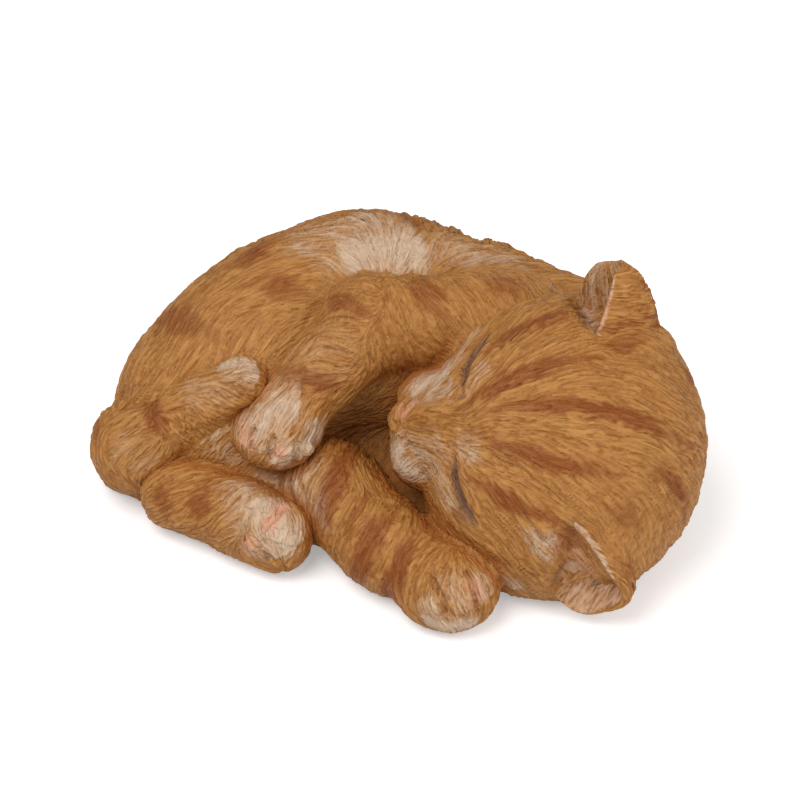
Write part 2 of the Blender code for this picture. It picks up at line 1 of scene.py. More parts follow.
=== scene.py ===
# Sleeping kitten ornament: the castings as they are painted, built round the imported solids.
# Lengths are millimetres until a mesh is filled. A place written as (across, down) is where the
# camera sees it in a frame of 800 by 800, and it is always carried on to the surface it lies on.
import itertools
import math

import bpy
import numpy as np
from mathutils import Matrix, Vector


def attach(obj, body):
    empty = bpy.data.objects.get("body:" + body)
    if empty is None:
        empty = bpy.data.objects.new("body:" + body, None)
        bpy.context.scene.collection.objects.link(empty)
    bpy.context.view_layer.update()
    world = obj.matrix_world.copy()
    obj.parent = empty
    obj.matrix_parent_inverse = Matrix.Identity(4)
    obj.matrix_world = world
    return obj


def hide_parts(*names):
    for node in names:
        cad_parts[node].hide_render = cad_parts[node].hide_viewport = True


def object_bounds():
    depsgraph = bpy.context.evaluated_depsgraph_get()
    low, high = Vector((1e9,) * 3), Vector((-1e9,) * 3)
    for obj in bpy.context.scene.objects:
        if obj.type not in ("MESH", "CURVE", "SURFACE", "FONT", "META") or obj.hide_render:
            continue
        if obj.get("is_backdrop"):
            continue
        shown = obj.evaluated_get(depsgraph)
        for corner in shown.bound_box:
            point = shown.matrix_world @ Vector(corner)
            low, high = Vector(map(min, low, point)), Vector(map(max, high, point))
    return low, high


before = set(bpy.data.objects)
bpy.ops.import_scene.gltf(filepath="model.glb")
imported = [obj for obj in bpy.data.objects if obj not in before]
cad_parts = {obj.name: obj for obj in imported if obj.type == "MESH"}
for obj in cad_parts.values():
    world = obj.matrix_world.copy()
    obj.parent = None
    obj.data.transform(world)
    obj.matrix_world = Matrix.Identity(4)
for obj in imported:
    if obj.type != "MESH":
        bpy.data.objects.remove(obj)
cadLow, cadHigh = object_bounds()
scene = bpy.context.scene
scene.view_settings.view_transform = "Standard"
fineness = 1.0
millimetre = 0.001
underside = 1.8   # height of the castings' flat underside over the floor
tiny = 1e-9


def unit(vectors, floor=0.0):
    # Vectors over their lengths.
    return vectors / (np.linalg.norm(vectors, axis=1)[:, None] + floor)


def ease(value):
    # Nothing below 0, one above 1, and three times the square less twice the cube between.
    value = np.clip(value, 0.0, 1.0)
    return value * value * (3.0 - 2.0 * value)


# The camera, and the line of sight through a place in the frame

viewpoint = {
    "elevation": 40.0, "distance": 850.0, "lift": 23.2, "pointsPerMm": 3.875, "frame": 800.0,
    "sensor": 36.0, "nearest": 0.05,
}
tilt = math.radians(viewpoint["elevation"])
across = np.array((1.0, 0.0, 0.0))
towardsCamera = np.array((0.0, -math.cos(tilt), math.sin(tilt)))
upInFrame = np.array((0.0, math.sin(tilt), math.cos(tilt)))
eye = viewpoint["lift"] * upInFrame + viewpoint["distance"] * towardsCamera


def sightLines(places):
    # The unit directions from the camera through places in the frame.
    offset = (np.array(places, float) - viewpoint["frame"] / 2.0) / viewpoint["pointsPerMm"]
    ray = offset[:, :1] * across - offset[:, 1:] * upInFrame - viewpoint["distance"] * towardsCamera
    return unit(ray)


# Swellings: the distance from points to each one's surface, negative inside


class Ball:
    # An ellipsoid: its centre, three radii, how softly it meets the swelling before it, its turn.
    def __init__(self, centre, radii, blend=0.0, turn=None):
        self.centre = np.array(centre, float)
        self.radii = np.array(radii, float)
        self.blend = blend
        self.turn = np.eye(3) if turn is None else turn

    def distance(self, points):
        # How many radii off a point is, times what that is past one, over the slope of the measure.
        local = (points - self.centre) @ self.turn
        scaled = np.linalg.norm(local / self.radii, axis=1)
        slope = np.linalg.norm(local / self.radii ** 2, axis=1) + tiny
        return scaled * (scaled - 1.0) / slope


class Taper:
    # A round rod from one place and radius to another.
    def __init__(self, start, startRadius, end, endRadius, blend=0.0):
        self.start = np.array(start, float)
        self.end = np.array(end, float)
        self.startRadius = startRadius
        self.endRadius = endRadius
        self.blend = blend

    def distance(self, points):
        # To the nearest place on the middle line, less the radius there, which changes evenly.
        run = self.end - self.start
        along = np.clip((points - self.start) @ run / (run @ run), 0.0, 1.0)
        radius = self.startRadius + (self.endRadius - self.startRadius) * along
        return np.linalg.norm(points - self.start - along[:, None] * run, axis=1) - radius


def runTogether(first, second, blend):
    # The nearer of two distances, less a quarter of the blend times the squared closeness of the two.
    leastBlend = 1e-6
    closeness = np.maximum(1.0 - np.abs(first - second) / np.maximum(blend, leastBlend), 0.0)
    return np.minimum(first, second) - closeness ** 2 * blend / 4.0


def formDistance(form, points):
    # The swellings run together in turn, each by its own blend.
    total = form[0].distance(points)
    for swelling in form[1:]:
        total = runTogether(total, swelling.distance(points), swelling.blend)
    return total


def at(*place):
    return np.array(place, float) + (0.0, 0.0, underside)


# Forms of the castings: the solids' swellings, with one more on the breast and a mound behind each
# ear, scoops before the ears, and a slimmer right hind foot

trunk = [
    Ball(at(-46, 11, 17.6), (27, 21.5, 23)),
    Ball(at(-35.5, 22.5, 19.8), (26, 24.5, 33), 14),
    Ball(at(-8.5, 32, 22.8), (34.5, 28.5, 36), 14),
    Ball(at(22, 28, 18.4), (27, 25.5, 31), 14),
    Ball(at(45, 17, 17.8), (23.5, 23, 29.5), 14),
    Ball(at(-42, 4, 8.2), (22, 14, 12), 8),
    Ball(at(6, 14, 32.2), (26, 14, 16), 10),
    Ball(at(-4, 0, 0.2), (42, 25, 12), 8),
    Ball(at(-29, -8, 4.5), (14, 12, 11.5), 9),
]
trunkLine = [trunk[0].centre, (trunk[2].centre + trunk[7].centre) / 2.0, trunk[4].centre]

headPose = {"centre": (41.3, -16.0, 26.2), "noseTurn": 9.0, "crownRoll": 10.0}
noseTurn = math.radians(headPose["noseTurn"])
crownRoll = math.radians(headPose["crownRoll"])
noseWay = math.sin(noseTurn) * upInFrame - math.cos(noseTurn) * across
sideWay = math.sin(noseTurn) * across + math.cos(noseTurn) * upInFrame
headTurn = np.column_stack((
    noseWay,
    math.cos(crownRoll) * sideWay - math.sin(crownRoll) * towardsCamera,
    math.cos(crownRoll) * towardsCamera + math.sin(crownRoll) * sideWay,
))
headMiddle = at(*headPose["centre"])


def onHead(*offset):
    # A place given towards the nose, towards the right ear and towards the crown.
    return headMiddle + headTurn @ np.array(offset, float)


head = [
    Ball(headMiddle, (34.8, 38.2, 31), 0, headTurn),
    Ball(onHead(18, 0, 7), (15, 20, 16), 10, headTurn),
    Ball(onHead(11, 21, -6), (19, 14, 18), 8, headTurn),
    Ball(onHead(11, -21, -6), (19, 14, 18), 8, headTurn),
    Taper(onHead(23, 0, 15), 8, onHead(39, 0, 3), 5.5, 8),
    Ball(onHead(31.5, 0, -3), (9.5, 13, 10), 5, headTurn),
    Ball(onHead(35, 7.2, -3), (8.1, 7.8, 8), 3.5, headTurn),
    Ball(onHead(35, -7.2, -3), (8.1, 7.8, 8), 3.5, headTurn),
    Ball(onHead(32, 0, -13), (9, 8, 7), 5, headTurn),
    Taper(onHead(-12.9, 25.7, 16.7), 3.2, onHead(-17.8, 27.2, 11.8), 3.2, 6),
    Taper(onHead(-13.1, -24, 16.7), 3.2, onHead(-18.6, -27.9, 10.7), 3.2, 6),
]
earScoops = [
    Taper(onHead(-2.8, 28, 23.6), 3.6, onHead(-0.5, 37.2, 12.6), 5.6, 3.5),
    Taper(onHead(-3.4, -26.6, 24.8), 4.2, onHead(-7.4, -37.9, 11.4), 6.8, 3),
]

blade = at(28, 13, 42.2)
elbow = at(-7, 8, 47.2)
rightWrist = at(-27, -5, 31.2)
rightPaw = at(-31, -8.8, 25.8)
rightForeleg = [
    Taper(blade, 13.5, elbow, 11),
    Taper(elbow, 11, rightWrist, 9, 5),
    Ball(rightPaw, (11, 11, 9), 5),
]

leftForearm = at(-17.2, -13.8, 10.6)
leftWrist = at(-3.6, -32.8, 8.9)
leftPaw = at(12.2, -46.4, 7.4)
leftForeleg = [
    Taper(leftForearm, 12.6, leftWrist, 10.8),
    Taper(leftWrist, 10.5, leftPaw, 9.5, 5),
    Ball(leftPaw, (11.8, 11, 9.5), 5),
]

rightHock = at(-66.4, -1, 13.9)
rightHeel = at(-61, -4.6, 21.6)
rightToes = at(-39.6, -3.4, 37.6)
rightHindLeg = [
    Ball(rightHock, (12.5, 12, 13)),
    Taper(rightHeel, 7.4, rightToes, 6.2, 5),
]

leftHock = at(-56, -12.3, 8.2)
leftSole = at(-38, -22.5, 7.9)
leftToes = at(-31, -27.8, 7.9)
leftHindLeg = [Taper(leftHock, 9.6, leftSole, 9.2), Taper(leftSole, 9.2, leftToes, 9.2, 3)]

tailPlaces = [at(-45, 41, 7.2), at(-66, 26, 4.2), at(-73.0, 10, 3.4), at(-71.2, 2.2, 2.8), at(-64.5, -4, 2.2)]
tailRadii = [9, 6.5, 5.4, 4.7, 4]
tail = [
    Taper(tailPlaces[step], tailRadii[step], tailPlaces[step + 1], tailRadii[step + 1], 5)
    for step in range(4)
]

castings = {
    "body_shell": {"form": trunk, "line": trunkLine, "around": 420, "along": 236, "face": 50.0, "lean": 0.72},
    "head": {
        "form": head, "line": [onHead(-12, 0, 0), onHead(30, 0, -2)], "around": 400, "along": 246,
        "face": 90.0, "lean": 0.6, "soft": [(onHead(-24, 8, -14), 22, 9)], "scoops": earScoops,
    },
    "right_foreleg": {
        "form": rightForeleg, "line": [blade, elbow, rightWrist, rightPaw], "around": 230, "along": 330,
        "face": 60.0, "lean": 0.5, "soft": [(blade, 26, 12)], "meets": ["head"],
    },
    "left_foreleg": {
        "form": leftForeleg, "line": [leftForearm, leftWrist, leftPaw], "around": 230, "along": 260,
        "face": 80.0, "lean": 0.5, "soft": [(leftForearm, 19, 11)], "meets": ["head"],
    },
    "right_hind_leg": {
        "form": rightHindLeg, "line": [rightHock, rightHeel, rightToes], "around": 220, "along": 230,
        "face": 40.0, "lean": 0.4, "soft": [(rightHock, 16, 7)],
    },
    "left_hind_leg": {
        "form": leftHindLeg, "line": [leftHock, leftSole, leftToes], "around": 220, "along": 230,
        "face": 60.0, "lean": 0.4, "soft": [(leftHock, 10, 4)],
    },
    "tail": {
        "form": tail, "line": tailPlaces, "around": 120, "along": 300,
        "face": 100.0, "lean": 0.3, "soft": [(tailPlaces[0], 16, 6)],
    },
}


def castingDistance(name, points):
    # The form, with its scoops run together with what is outside it.
    total = formDistance(castings[name]["form"], points)
    for scoop in castings[name].get("scoops", ()):
        total = -runTogether(-total, scoop.distance(points), scoop.blend)
    return total


def nearestOf(names, points):
    # The least of the castings' distances.
    return np.min([castingDistance(name, points) for name in names], axis=0)


def landOn(start, ray):
    # Steps along each line by the distance left to the nearest casting, and keeps the closest
    # place it came to, so that a place just off the outline still lands on the edge.
    steps, stepShare = 70, 0.9
    travel = np.zeros(len(ray))
    best = np.full(len(ray), np.inf)
    bestTravel = travel.copy()
    for _ in range(steps):
        left = nearestOf(castings, start + travel[:, None] * ray)
        closer = left < best
        best = np.where(closer, left, best)
        bestTravel = np.where(closer, travel, bestTravel)
        travel = travel + np.maximum(left, 0.0) * stepShare
    return start + bestTravel[:, None] * ray


def onSurface(places):
    # Where the lines of sight through places in the frame land.
    ray = sightLines(places)
    before = 130.0
    return landOn(eye + (viewpoint["distance"] - before) * ray, ray)


def onFarSide(places):
    # A place on the far side is given as its x and z in millimetres, and is landed on from behind.
    farOff = np.full(len(places), 120.0)
    start = np.column_stack((places[:, 0], farOff, places[:, 1]))
    return landOn(start, np.tile((0.0, -1.0, 0.0), (len(places), 1)))


# Noise, and noise drawn out along the fur, with draws that are the same on every run

latticeSize = 64
lattice = np.random.default_rng(41).random(latticeSize ** 3) * 2.0 - 1.0
skew = np.linalg.qr(np.random.default_rng(7).normal(size=(3, 3)))[0]


def softNoise(points, cell):
    # Random values at the corners of cubic cells, mixed by smooth shares along the three edges.
    aboveNothing = 500.0
    scaled = (points @ skew) / cell + aboveNothing
    corner = np.floor(scaled).astype(np.int64)
    share = ease(scaled - corner)
    low = corner % latticeSize
    high = (corner + 1) % latticeSize
    total = np.zeros(len(points))
    for sides in itertools.product((0, 1), repeat=3):
        weight = 1.0
        index = 0
        for axis, side in enumerate(sides):
            weight = weight * (share[:, axis] if side else 1.0 - share[:, axis])
            index = index * latticeSize + (high if side else low)[:, axis]
        total += weight * lattice[index]
    return total


strandGains = {}


def combed(points, flow, cell, reach, taps=11):
    # The average of the noise at places along the flow, so that it runs in strands, brought to a
    # spread of one by the spread that it has at random places.
    def drawnOut(where, way):
        steps = np.linspace(-reach, reach, taps)
        return sum(softNoise(where + step * way, cell) for step in steps) / taps
    key = (cell, reach, taps)
    if key not in strandGains:
        dice = np.random.default_rng(3)
        count, room = 3000, 60.0
        way = unit(dice.normal(size=(count, 3)))
        strandGains[key] = 1.0 / drawnOut(dice.random((count, 3)) * room, way).std()
    return drawnOut(points, flow) * strandGains[key]


# Sizes of the fur in millimetres, and the greatest values, powers and means of its noises
fur = {
    "strandCell": 0.86, "strandReach": 2.6, "strandHeight": 0.36, "strandTaps": 13,
    "strandMost": 1.5, "strandPower": 0.8, "strandMean": 0.7,
    "clumpCell": 1.7, "clumpReach": 4.5, "clumpHeight": 0.17, "clumpMost": 1.8,
    "wave": 0.32, "waveCell": 4.2, "patchCore": 1.35, "shortest": 0.45, "settle": 1.5,
}

# How the fur lies: each comb is a short stroke in the frame, from across and down to across and down
combs = [
    # back and flank
    (262, 250, 240, 262), (215, 270, 197, 284), (180, 310, 168, 330), (150, 350, 138, 372),
    (120, 395, 112, 415), (203, 330, 192, 350), (235, 345, 226, 365), (250, 300, 228, 312),
    (300, 300, 275, 303), (318, 335, 303, 350), (330, 240, 305, 243), (355, 270, 335, 257),
    (372, 270, 362, 250), (389, 275, 388, 250), (410, 275, 418, 252), (425, 255, 434, 236),
    (432, 275, 450, 264), (470, 262, 500, 254), (520, 268, 550, 268), (300, 270, 278, 275),
    (160, 380, 148, 398), (270, 330, 258, 348), (190, 365, 180, 380),
    # right upper arm, forearm and paw
    (520, 280, 532, 296), (490, 285, 502, 302), (455, 290, 466, 310), (430, 300, 440, 322),
    (405, 295, 414, 318), (390, 330, 402, 352), (420, 330, 435, 350), (445, 325, 462, 342),
    (370, 310, 345, 304), (355, 340, 325, 336), (340, 360, 312, 354), (322, 380, 292, 372),
    (378, 330, 386, 355), (300, 392, 292, 408), (275, 392, 262, 408), (262, 420, 252, 436),
    (300, 415, 290, 435), (318, 425, 310, 445), (285, 435, 275, 452),
    # right hind foot
    (165, 405, 190, 392), (195, 388, 222, 376), (225, 375, 245, 370), (205, 405, 218, 416),
    (180, 415, 190, 428), (225, 392, 238, 402), (240, 385, 254, 396),
    # hock and the tail's end
    (128, 420, 112, 428), (130, 440, 112, 446), (145, 450, 125, 462), (110, 470, 122, 486),
    (100, 430, 98, 450), (120, 410, 104, 420),
    # left hind leg
    (205, 470, 180, 478), (215, 490, 192, 502), (180, 500, 165, 508), (240, 490, 222, 505),
    (235, 520, 218, 530), (262, 505, 258, 525), (290, 520, 288, 540), (250, 540, 262, 552),
    # belly and chest
    (262, 470, 250, 480), (225, 440, 215, 452), (345, 440, 335, 462), (320, 460, 310, 480),
    # left foreleg and paw
    (340, 480, 325, 500), (365, 470, 375, 490), (390, 520, 378, 545), (350, 530, 340, 550),
    (420, 545, 405, 570), (380, 560, 372, 585), (440, 560, 425, 590), (460, 580, 470, 610),
    (430, 600, 440, 620), (480, 570, 490, 595),
    # muzzle and bridge of the nose
    (412, 395, 400, 412), (425, 385, 412, 395), (440, 415, 420, 412), (430, 440, 408, 436),
    (400, 455, 393, 465), (420, 470, 408, 478), (410, 485, 403, 480), (470, 425, 445, 420),
    # forehead and crown, from the back of the head to the nose
    (520, 420, 490, 420), (580, 415, 545, 418), (640, 425, 605, 418), (690, 450, 660, 432),
    (560, 375, 528, 388), (620, 385, 585, 382), (670, 405, 640, 392), (520, 350, 495, 372),
    (560, 330, 530, 345), (545, 300, 515, 318), (500, 315, 480, 340), (470, 350, 455, 368),
    (580, 450, 545, 440), (640, 470, 605, 455), (560, 490, 525, 468), (510, 470, 485, 455),
    (600, 500, 575, 480), (650, 510, 630, 485), (690, 500, 675, 470), (640, 540, 630, 515),
    (600, 535, 580, 512), (540, 530, 512, 502), (500, 510, 480, 485), (470, 500, 462, 480),
    (450, 500, 440, 480), (480, 540, 458, 515), (530, 575, 505, 552), (560, 560, 538, 535),
    (480, 380, 470, 395), (485, 395, 470, 405),
]


combEnds = onSurface(np.reshape(combs, (-1, 2))).reshape(-1, 2, 3)
combMiddles = (combEnds[:, 0] + combEnds[:, 1]) / 2.0
combWays = unit(combEnds[:, 1] - combEnds[:, 0])
combOwners = np.argmin([formDistance(casting["form"], combMiddles) for casting in castings.values()], axis=0)


def furFlow(name, points, normals):
    # The combs' directions, weighed by the inverse fourth power of how far off they are and more
    # within one casting, laid flat on the surface, turned a little to and fro by a noise, and
    # brought to a length of one.
    ownTrust, nearest, batch = 8.0, 12.0, 20000
    trust = np.where(combOwners == list(castings).index(name), ownTrust, 1.0)
    flow = np.zeros_like(points)
    for start in range(0, len(points), batch):
        part = slice(start, start + batch)
        gap = ((points[part, None, :] - combMiddles[None, :, :]) ** 2).sum(axis=2)
        flow[part] = (trust / (gap + nearest) ** 2) @ combWays
    flow -= (flow * normals).sum(axis=1)[:, None] * normals
    flow = unit(flow, tiny)
    flow += (fur["wave"] * softNoise(points, fur["waveCell"]))[:, None] * np.cross(normals, flow)
    return unit(flow, tiny)


print("combs laid:", len(combs))


# Strokes: lines of places on the surface that are carved, raised or painted


def reachOf(points, line):
    # Distance from points to a line of straight pieces, and the share of its length nearest to each.
    steps = np.linalg.norm(np.diff(line, axis=0), axis=1)
    whole = steps.sum()
    nearest = np.full(len(points), np.inf)
    share = np.zeros(len(points))
    travelled = 0.0
    for start, finish, length in zip(line[:-1], line[1:], steps):
        run = finish - start
        along = np.clip((points - start) @ run / (length * length + tiny), 0.0, 1.0)
        gap = np.linalg.norm(points - start - along[:, None] * run, axis=1)
        closer = gap < nearest
        nearest = np.where(closer, gap, nearest)
        share = np.where(closer, (travelled + along * length) / whole, share)
        travelled += length
    return nearest, share


def layStrokes(every):
    # Carries every place of every stroke on to the surface at once, with places added between them.
    filled = []
    between = 3
    for stroke in every:
        places = stroke["places"]
        knots = np.arange(len(places))
        fine = np.linspace(0, len(places) - 1, between * (len(places) - 1) + 1)
        filled.append(np.column_stack([np.interp(fine, knots, places[:, axis]) for axis in (0, 1)]))
    owner = np.repeat(np.arange(len(every)), [len(places) for places in filled])
    behind = np.array([stroke["behind"] for stroke in every])[owner]
    places = np.concatenate(filled)
    landed = np.zeros((len(places), 3))
    landed[~behind] = onSurface(places[~behind])
    landed[behind] = onFarSide(places[behind])
    for index, stroke in enumerate(every):
        stroke["line"] = landed[owner == index]


def strokeMask(stroke, points, wander=0.0):
    # One along the stroke's middle and nothing past its width. At both ends the width and the
    # strength come down to shares of themselves.
    endWidth, endStrength, margin = 0.35, 0.4, 2.0
    width = stroke["width"]
    wander = np.broadcast_to(wander, len(points))
    low = stroke["line"].min(axis=0) - width - margin
    high = stroke["line"].max(axis=0) + width + margin
    near = np.all((points > low) & (points < high), axis=1)
    mask = np.zeros(len(points))
    if near.any():
        gap, share = reachOf(points[near], stroke["line"])
        ends = ease(np.minimum(share, 1.0 - share) / stroke["fade"])
        width = width * (endWidth + (1.0 - endWidth) * ends)
        strength = endStrength + (1.0 - endStrength) * ends
        mask[near] = ease((1.0 - (gap + wander[near]) / width) * stroke["edge"]) * strength
    return mask


# Surfaces


def roundAngles(count, face, lean):
    # Angles whose steps are short about the face angle: equal steps of the angle's summed density.
    quarterDegrees = 4 * 360
    angle = np.linspace(0.0, 2.0 * math.pi, quarterDegrees + 1)
    density = 1.0 + lean * np.cos(angle - math.radians(face))
    summed = np.concatenate(((0.0,), np.cumsum((density[1:] + density[:-1]) / 2.0)))
    return np.interp(np.linspace(0.0, summed[-1], count, endpoint=False), summed, angle)


def alongLine(line, share):
    # Places at shares of the whole length of a line of straight pieces.
    knots = np.array(line)
    steps = np.linalg.norm(np.diff(knots, axis=0), axis=1)
    travelled = np.concatenate(((0.0,), np.cumsum(steps))) / steps.sum()
    share = np.clip(share, 0.0, 1.0)
    return np.column_stack([np.interp(share, travelled, knots[:, axis]) for axis in range(3)])


def raysOut(line, share, angle):
    # Rings are shared out along the line, with a fan of directions round each end.
    fan, look = 0.25, 0.15
    middle = np.clip((share - fan) / (1.0 - 2.0 * fan), 0.0, 1.0)
    start = alongLine(line, middle)
    heading = unit(alongLine(line, middle + look) - alongLine(line, middle - look))
    slant = np.clip(share / fan, 0.0, 1.0) - 1.0 + np.clip((share - 1.0) / fan + 1.0, 0.0, 1.0)
    slant = (slant * math.pi / 2.0)[:, None]
    sideways = unit(np.cross(heading, (0.0, 0.0, 1.0)))
    upward = np.cross(sideways, heading)
    radial = np.cos(angle)[:, None] * sideways + np.sin(angle)[:, None] * upward
    return start, np.cos(slant) * radial + np.sin(slant) * heading


# Where a casting is bonded on: how softly it meets the skin, and how far its skirt sinks and ends
seam = {
    "blend": 2.2, "sink": 0.25, "moreSink": 0.4, "sinkReach": 3.0, "skirt": 1.5, "skirtShare": 0.7,
    "rim": 0.8,
}


def pieceField(name):
    # A casting's own distance, run together with the skin of the trunk and of what else it meets,
    # softly about its soft places and crisply elsewhere, in a skirt that sinks away from the casting,
    # less its scoops, and flat at the underside.
    casting = castings[name]

    def field(points):
        own = formDistance(casting["form"], points)
        if name != "body_shell":
            blend = np.full(len(points), seam["blend"])
            for centre, radius, soft in casting["soft"]:
                nearness = np.clip(1.0 - ((points - centre) ** 2).sum(axis=1) / radius ** 2, 0.0, 1.0)
                blend = blend + (soft - seam["blend"]) * nearness ** 2
            skin = formDistance(trunk, points)
            for other in casting.get("meets", ()):
                skin = np.minimum(skin, formDistance(castings[other]["form"], points))
            skin = skin + seam["sink"] + seam["moreSink"] * ease(own / seam["sinkReach"])
            skirt = own - seam["skirt"] - seam["skirtShare"] * blend
            own = np.maximum(runTogether(own, skin, blend), skirt)
        for scoop in casting.get("scoops", ()):
            own = -runTogether(-own, scoop.distance(points), scoop.blend)
        return -runTogether(-own, points[:, 2] - underside, seam["rim"])
    return field


# Steps along rays, and the share of the distance left that each takes
raySteps = {"every": 6, "first": (90, 0.8), "shorter": 0.985, "then": (14, 0.85), "poles": (100, 0.8)}


def travelOut(field, start, way, travel, steps, share):
    # Steps along each ray by a share of the distance that is left, inwards where it is outside.
    for _ in range(steps):
        travel = travel - share * field(start + travel[:, None] * way)
    return travel


def gridPlaces(field, line, shares, angles):
    # Where each ray of a grid meets the surface: first on a grid of every few rays, spread over
    # the whole grid, then a few steps more.
    every = raySteps["every"]
    fewShares = np.append(shares[::every], shares[-1])
    fewAngles = angles[::every]
    start, way = raysOut(line, np.repeat(fewShares, len(fewAngles)), np.tile(fewAngles, len(fewShares)))
    few = travelOut(field, start, way, np.zeros(len(start)), *raySteps["first"])
    few = few.reshape(len(fewShares), len(fewAngles))
    few = np.column_stack((few, few[:, 0]))
    rows = np.interp(shares, fewShares, np.arange(len(fewShares)))
    fewAngles = np.append(fewAngles, fewAngles[0] + 2.0 * math.pi)
    columns = np.interp(angles, fewAngles, np.arange(few.shape[1]))
    low = np.minimum(rows.astype(int), len(fewShares) - 2)
    left = np.minimum(columns.astype(int), few.shape[1] - 2)
    down = (rows - low)[:, None]
    over = (columns - left)[None, :]
    spread = (1 - down) * ((1 - over) * few[low][:, left] + over * few[low][:, left + 1])
    spread += down * ((1 - over) * few[low + 1][:, left] + over * few[low + 1][:, left + 1])
    start, way = raysOut(line, np.repeat(shares, len(angles)), np.tile(angles, len(shares)))
    travel = travelOut(field, start, way, spread.ravel() * raySteps["shorter"], *raySteps["then"])
    return start + travel[:, None] * way


def slopeOf(field, points):
    # The unit slope of a distance, from its differences over a tenth of a millimetre or so.
    steps = 0.12 * np.eye(3)
    return unit(np.column_stack([field(points + step) - field(points - step) for step in steps]), tiny)


def hollowness(points, normals):
    # Nothing on an open swelling and one far into a hollow between castings: how much nearer the
    # nearest surface is than the point itself, at three places straight out from the skin. It is
    # the shade layer: painted shade, with a brown wash, in the hollows.
    total = np.zeros(len(points))
    outAndWeight = ((3.0, 0.25), (7.0, 0.35), (14.0, 0.4))
    for step, weight in outAndWeight:
        out = nearestOf(castings, points + step * normals)
        total += weight * np.clip(1.0 - out / step, 0.0, 1.0)
    return total


# Where the fur stands higher than elsewhere or lies smoother: across, down, how far round, how high
furPatches = np.array((
    (385, 245, 15, 1.6), (425, 222, 9, 2.6), (450, 228, 8, 3.2), (480, 240, 8, 3.2), (510, 250, 8, 3),
    (540, 262, 7, 2.4), (350, 216, 8, 1.8), (230, 254, 6, 2), (545, 545, 6, 1.8), (248, 372, 6, 1.5),
    (190, 425, 6, 1.5), (545, 470, 14, 1.2), (700, 450, 9, 1.5), (690, 380, 9, 1.3), (110, 400, 8, 1.6),
    (135, 365, 8, 1.6), (160, 330, 8, 1.6), (200, 280, 9, 1.6), (265, 236, 9, 1.6), (232, 442, 11, 0.2),
    (205, 440, 6, 0.4), (385, 410, 10, 0.2), (360, 395, 8, 0.3), (400, 415, 5, 0.4), (425, 395, 6, 0.6),
    (398, 455, 6, 0.5), (460, 375, 4, 0.4), (455, 485, 4, 0.4), (275, 525, 7, 0.6), (395, 395, 5, 0.3),
    (288, 545, 7, 0.6), (455, 604, 10, 0.6), (280, 440, 8, 0.65), (440, 430, 7, 0.7),
    (415, 480, 5, 0.6),
))
patchMiddles = onSurface(furPatches[:, :2])


def furGain(points):
    # One, brought towards each patch's own height by how near its middle is.
    gain = np.ones(len(points))
    for middle, (reach, height) in zip(patchMiddles, furPatches[:, 2:]):
        nearness = ease(fur["patchCore"] * (1.0 - np.linalg.norm(points - middle, axis=1) / reach))
        gain = gain + (height - gain) * nearness
    return gain


def furRelief(points, flow, height):
    # Strands are the size of drawn-out noise, so that they are round with sharp grooves where it
    # changes sign, on clumps of a coarser noise.
    strand = np.abs(combed(points, flow, fur["strandCell"], fur["strandReach"], fur["strandTaps"]))
    strand = np.minimum(strand, fur["strandMost"]) ** fur["strandPower"]
    clump = combed(points, flow, fur["clumpCell"], fur["clumpReach"])
    relief = fur["strandHeight"] * (strand - fur["strandMean"])
    relief = relief + fur["clumpHeight"] * np.clip(clump, -fur["clumpMost"], fur["clumpMost"])
    return relief * height, strand, clump


def makeMesh(name, points, faces, values, flow):
    # A mesh from whole arrays, with a number at each vertex for every layer, and the fur's flow.
    mesh = bpy.data.meshes.new(name)
    corners = np.concatenate([face.ravel() for face in faces])
    sizes = np.concatenate([np.full(len(face), face.shape[1]) for face in faces])
    mesh.vertices.add(len(points))
    mesh.vertices.foreach_set("co", (points * millimetre).astype(np.float32).ravel())
    mesh.loops.add(len(corners))
    mesh.loops.foreach_set("vertex_index", corners.astype(np.int32))
    mesh.polygons.add(len(sizes))
    starts = np.concatenate(((0,), np.cumsum(sizes)[:-1]))
    mesh.polygons.foreach_set("loop_start", starts.astype(np.int32))
    mesh.update(calc_edges=True)
    for layer, value in values.items():
        attribute = mesh.attributes.new(layer, "FLOAT", "POINT")
        attribute.data.foreach_set("value", np.asarray(value, np.float32))
    attribute = mesh.attributes.new("flow", "FLOAT_VECTOR", "POINT")
    attribute.data.foreach_set("vector", flow.astype(np.float32).ravel())
    mesh.shade_smooth()
    thing = bpy.data.objects.new(name, mesh)
    scene.collection.objects.link(thing)
    return thing


def gridFaces(rows, columns):
    # Quads between neighbouring rings, and a fan of triangles to the pole vertex at each end.
    index = np.arange(rows * columns).reshape(rows, columns)
    after = np.roll(index, -1, axis=1)
    quads = np.stack((index[:-1], index[1:], after[1:], after[:-1]), axis=-1).reshape(-1, 4)
    first = np.column_stack((np.full(columns, rows * columns), index[0], after[0]))
    last = np.column_stack((np.full(columns, rows * columns + 1), after[-1], index[-1]))
    return [quads, np.concatenate((first, last))]


# Strokes on the pieces. Each is its width, its depth or strength, the share of its length that
# fades at either end, how hard its edge is, and then its places, across and down in turn. A depth
# is in millimetres, and one below nothing raises.

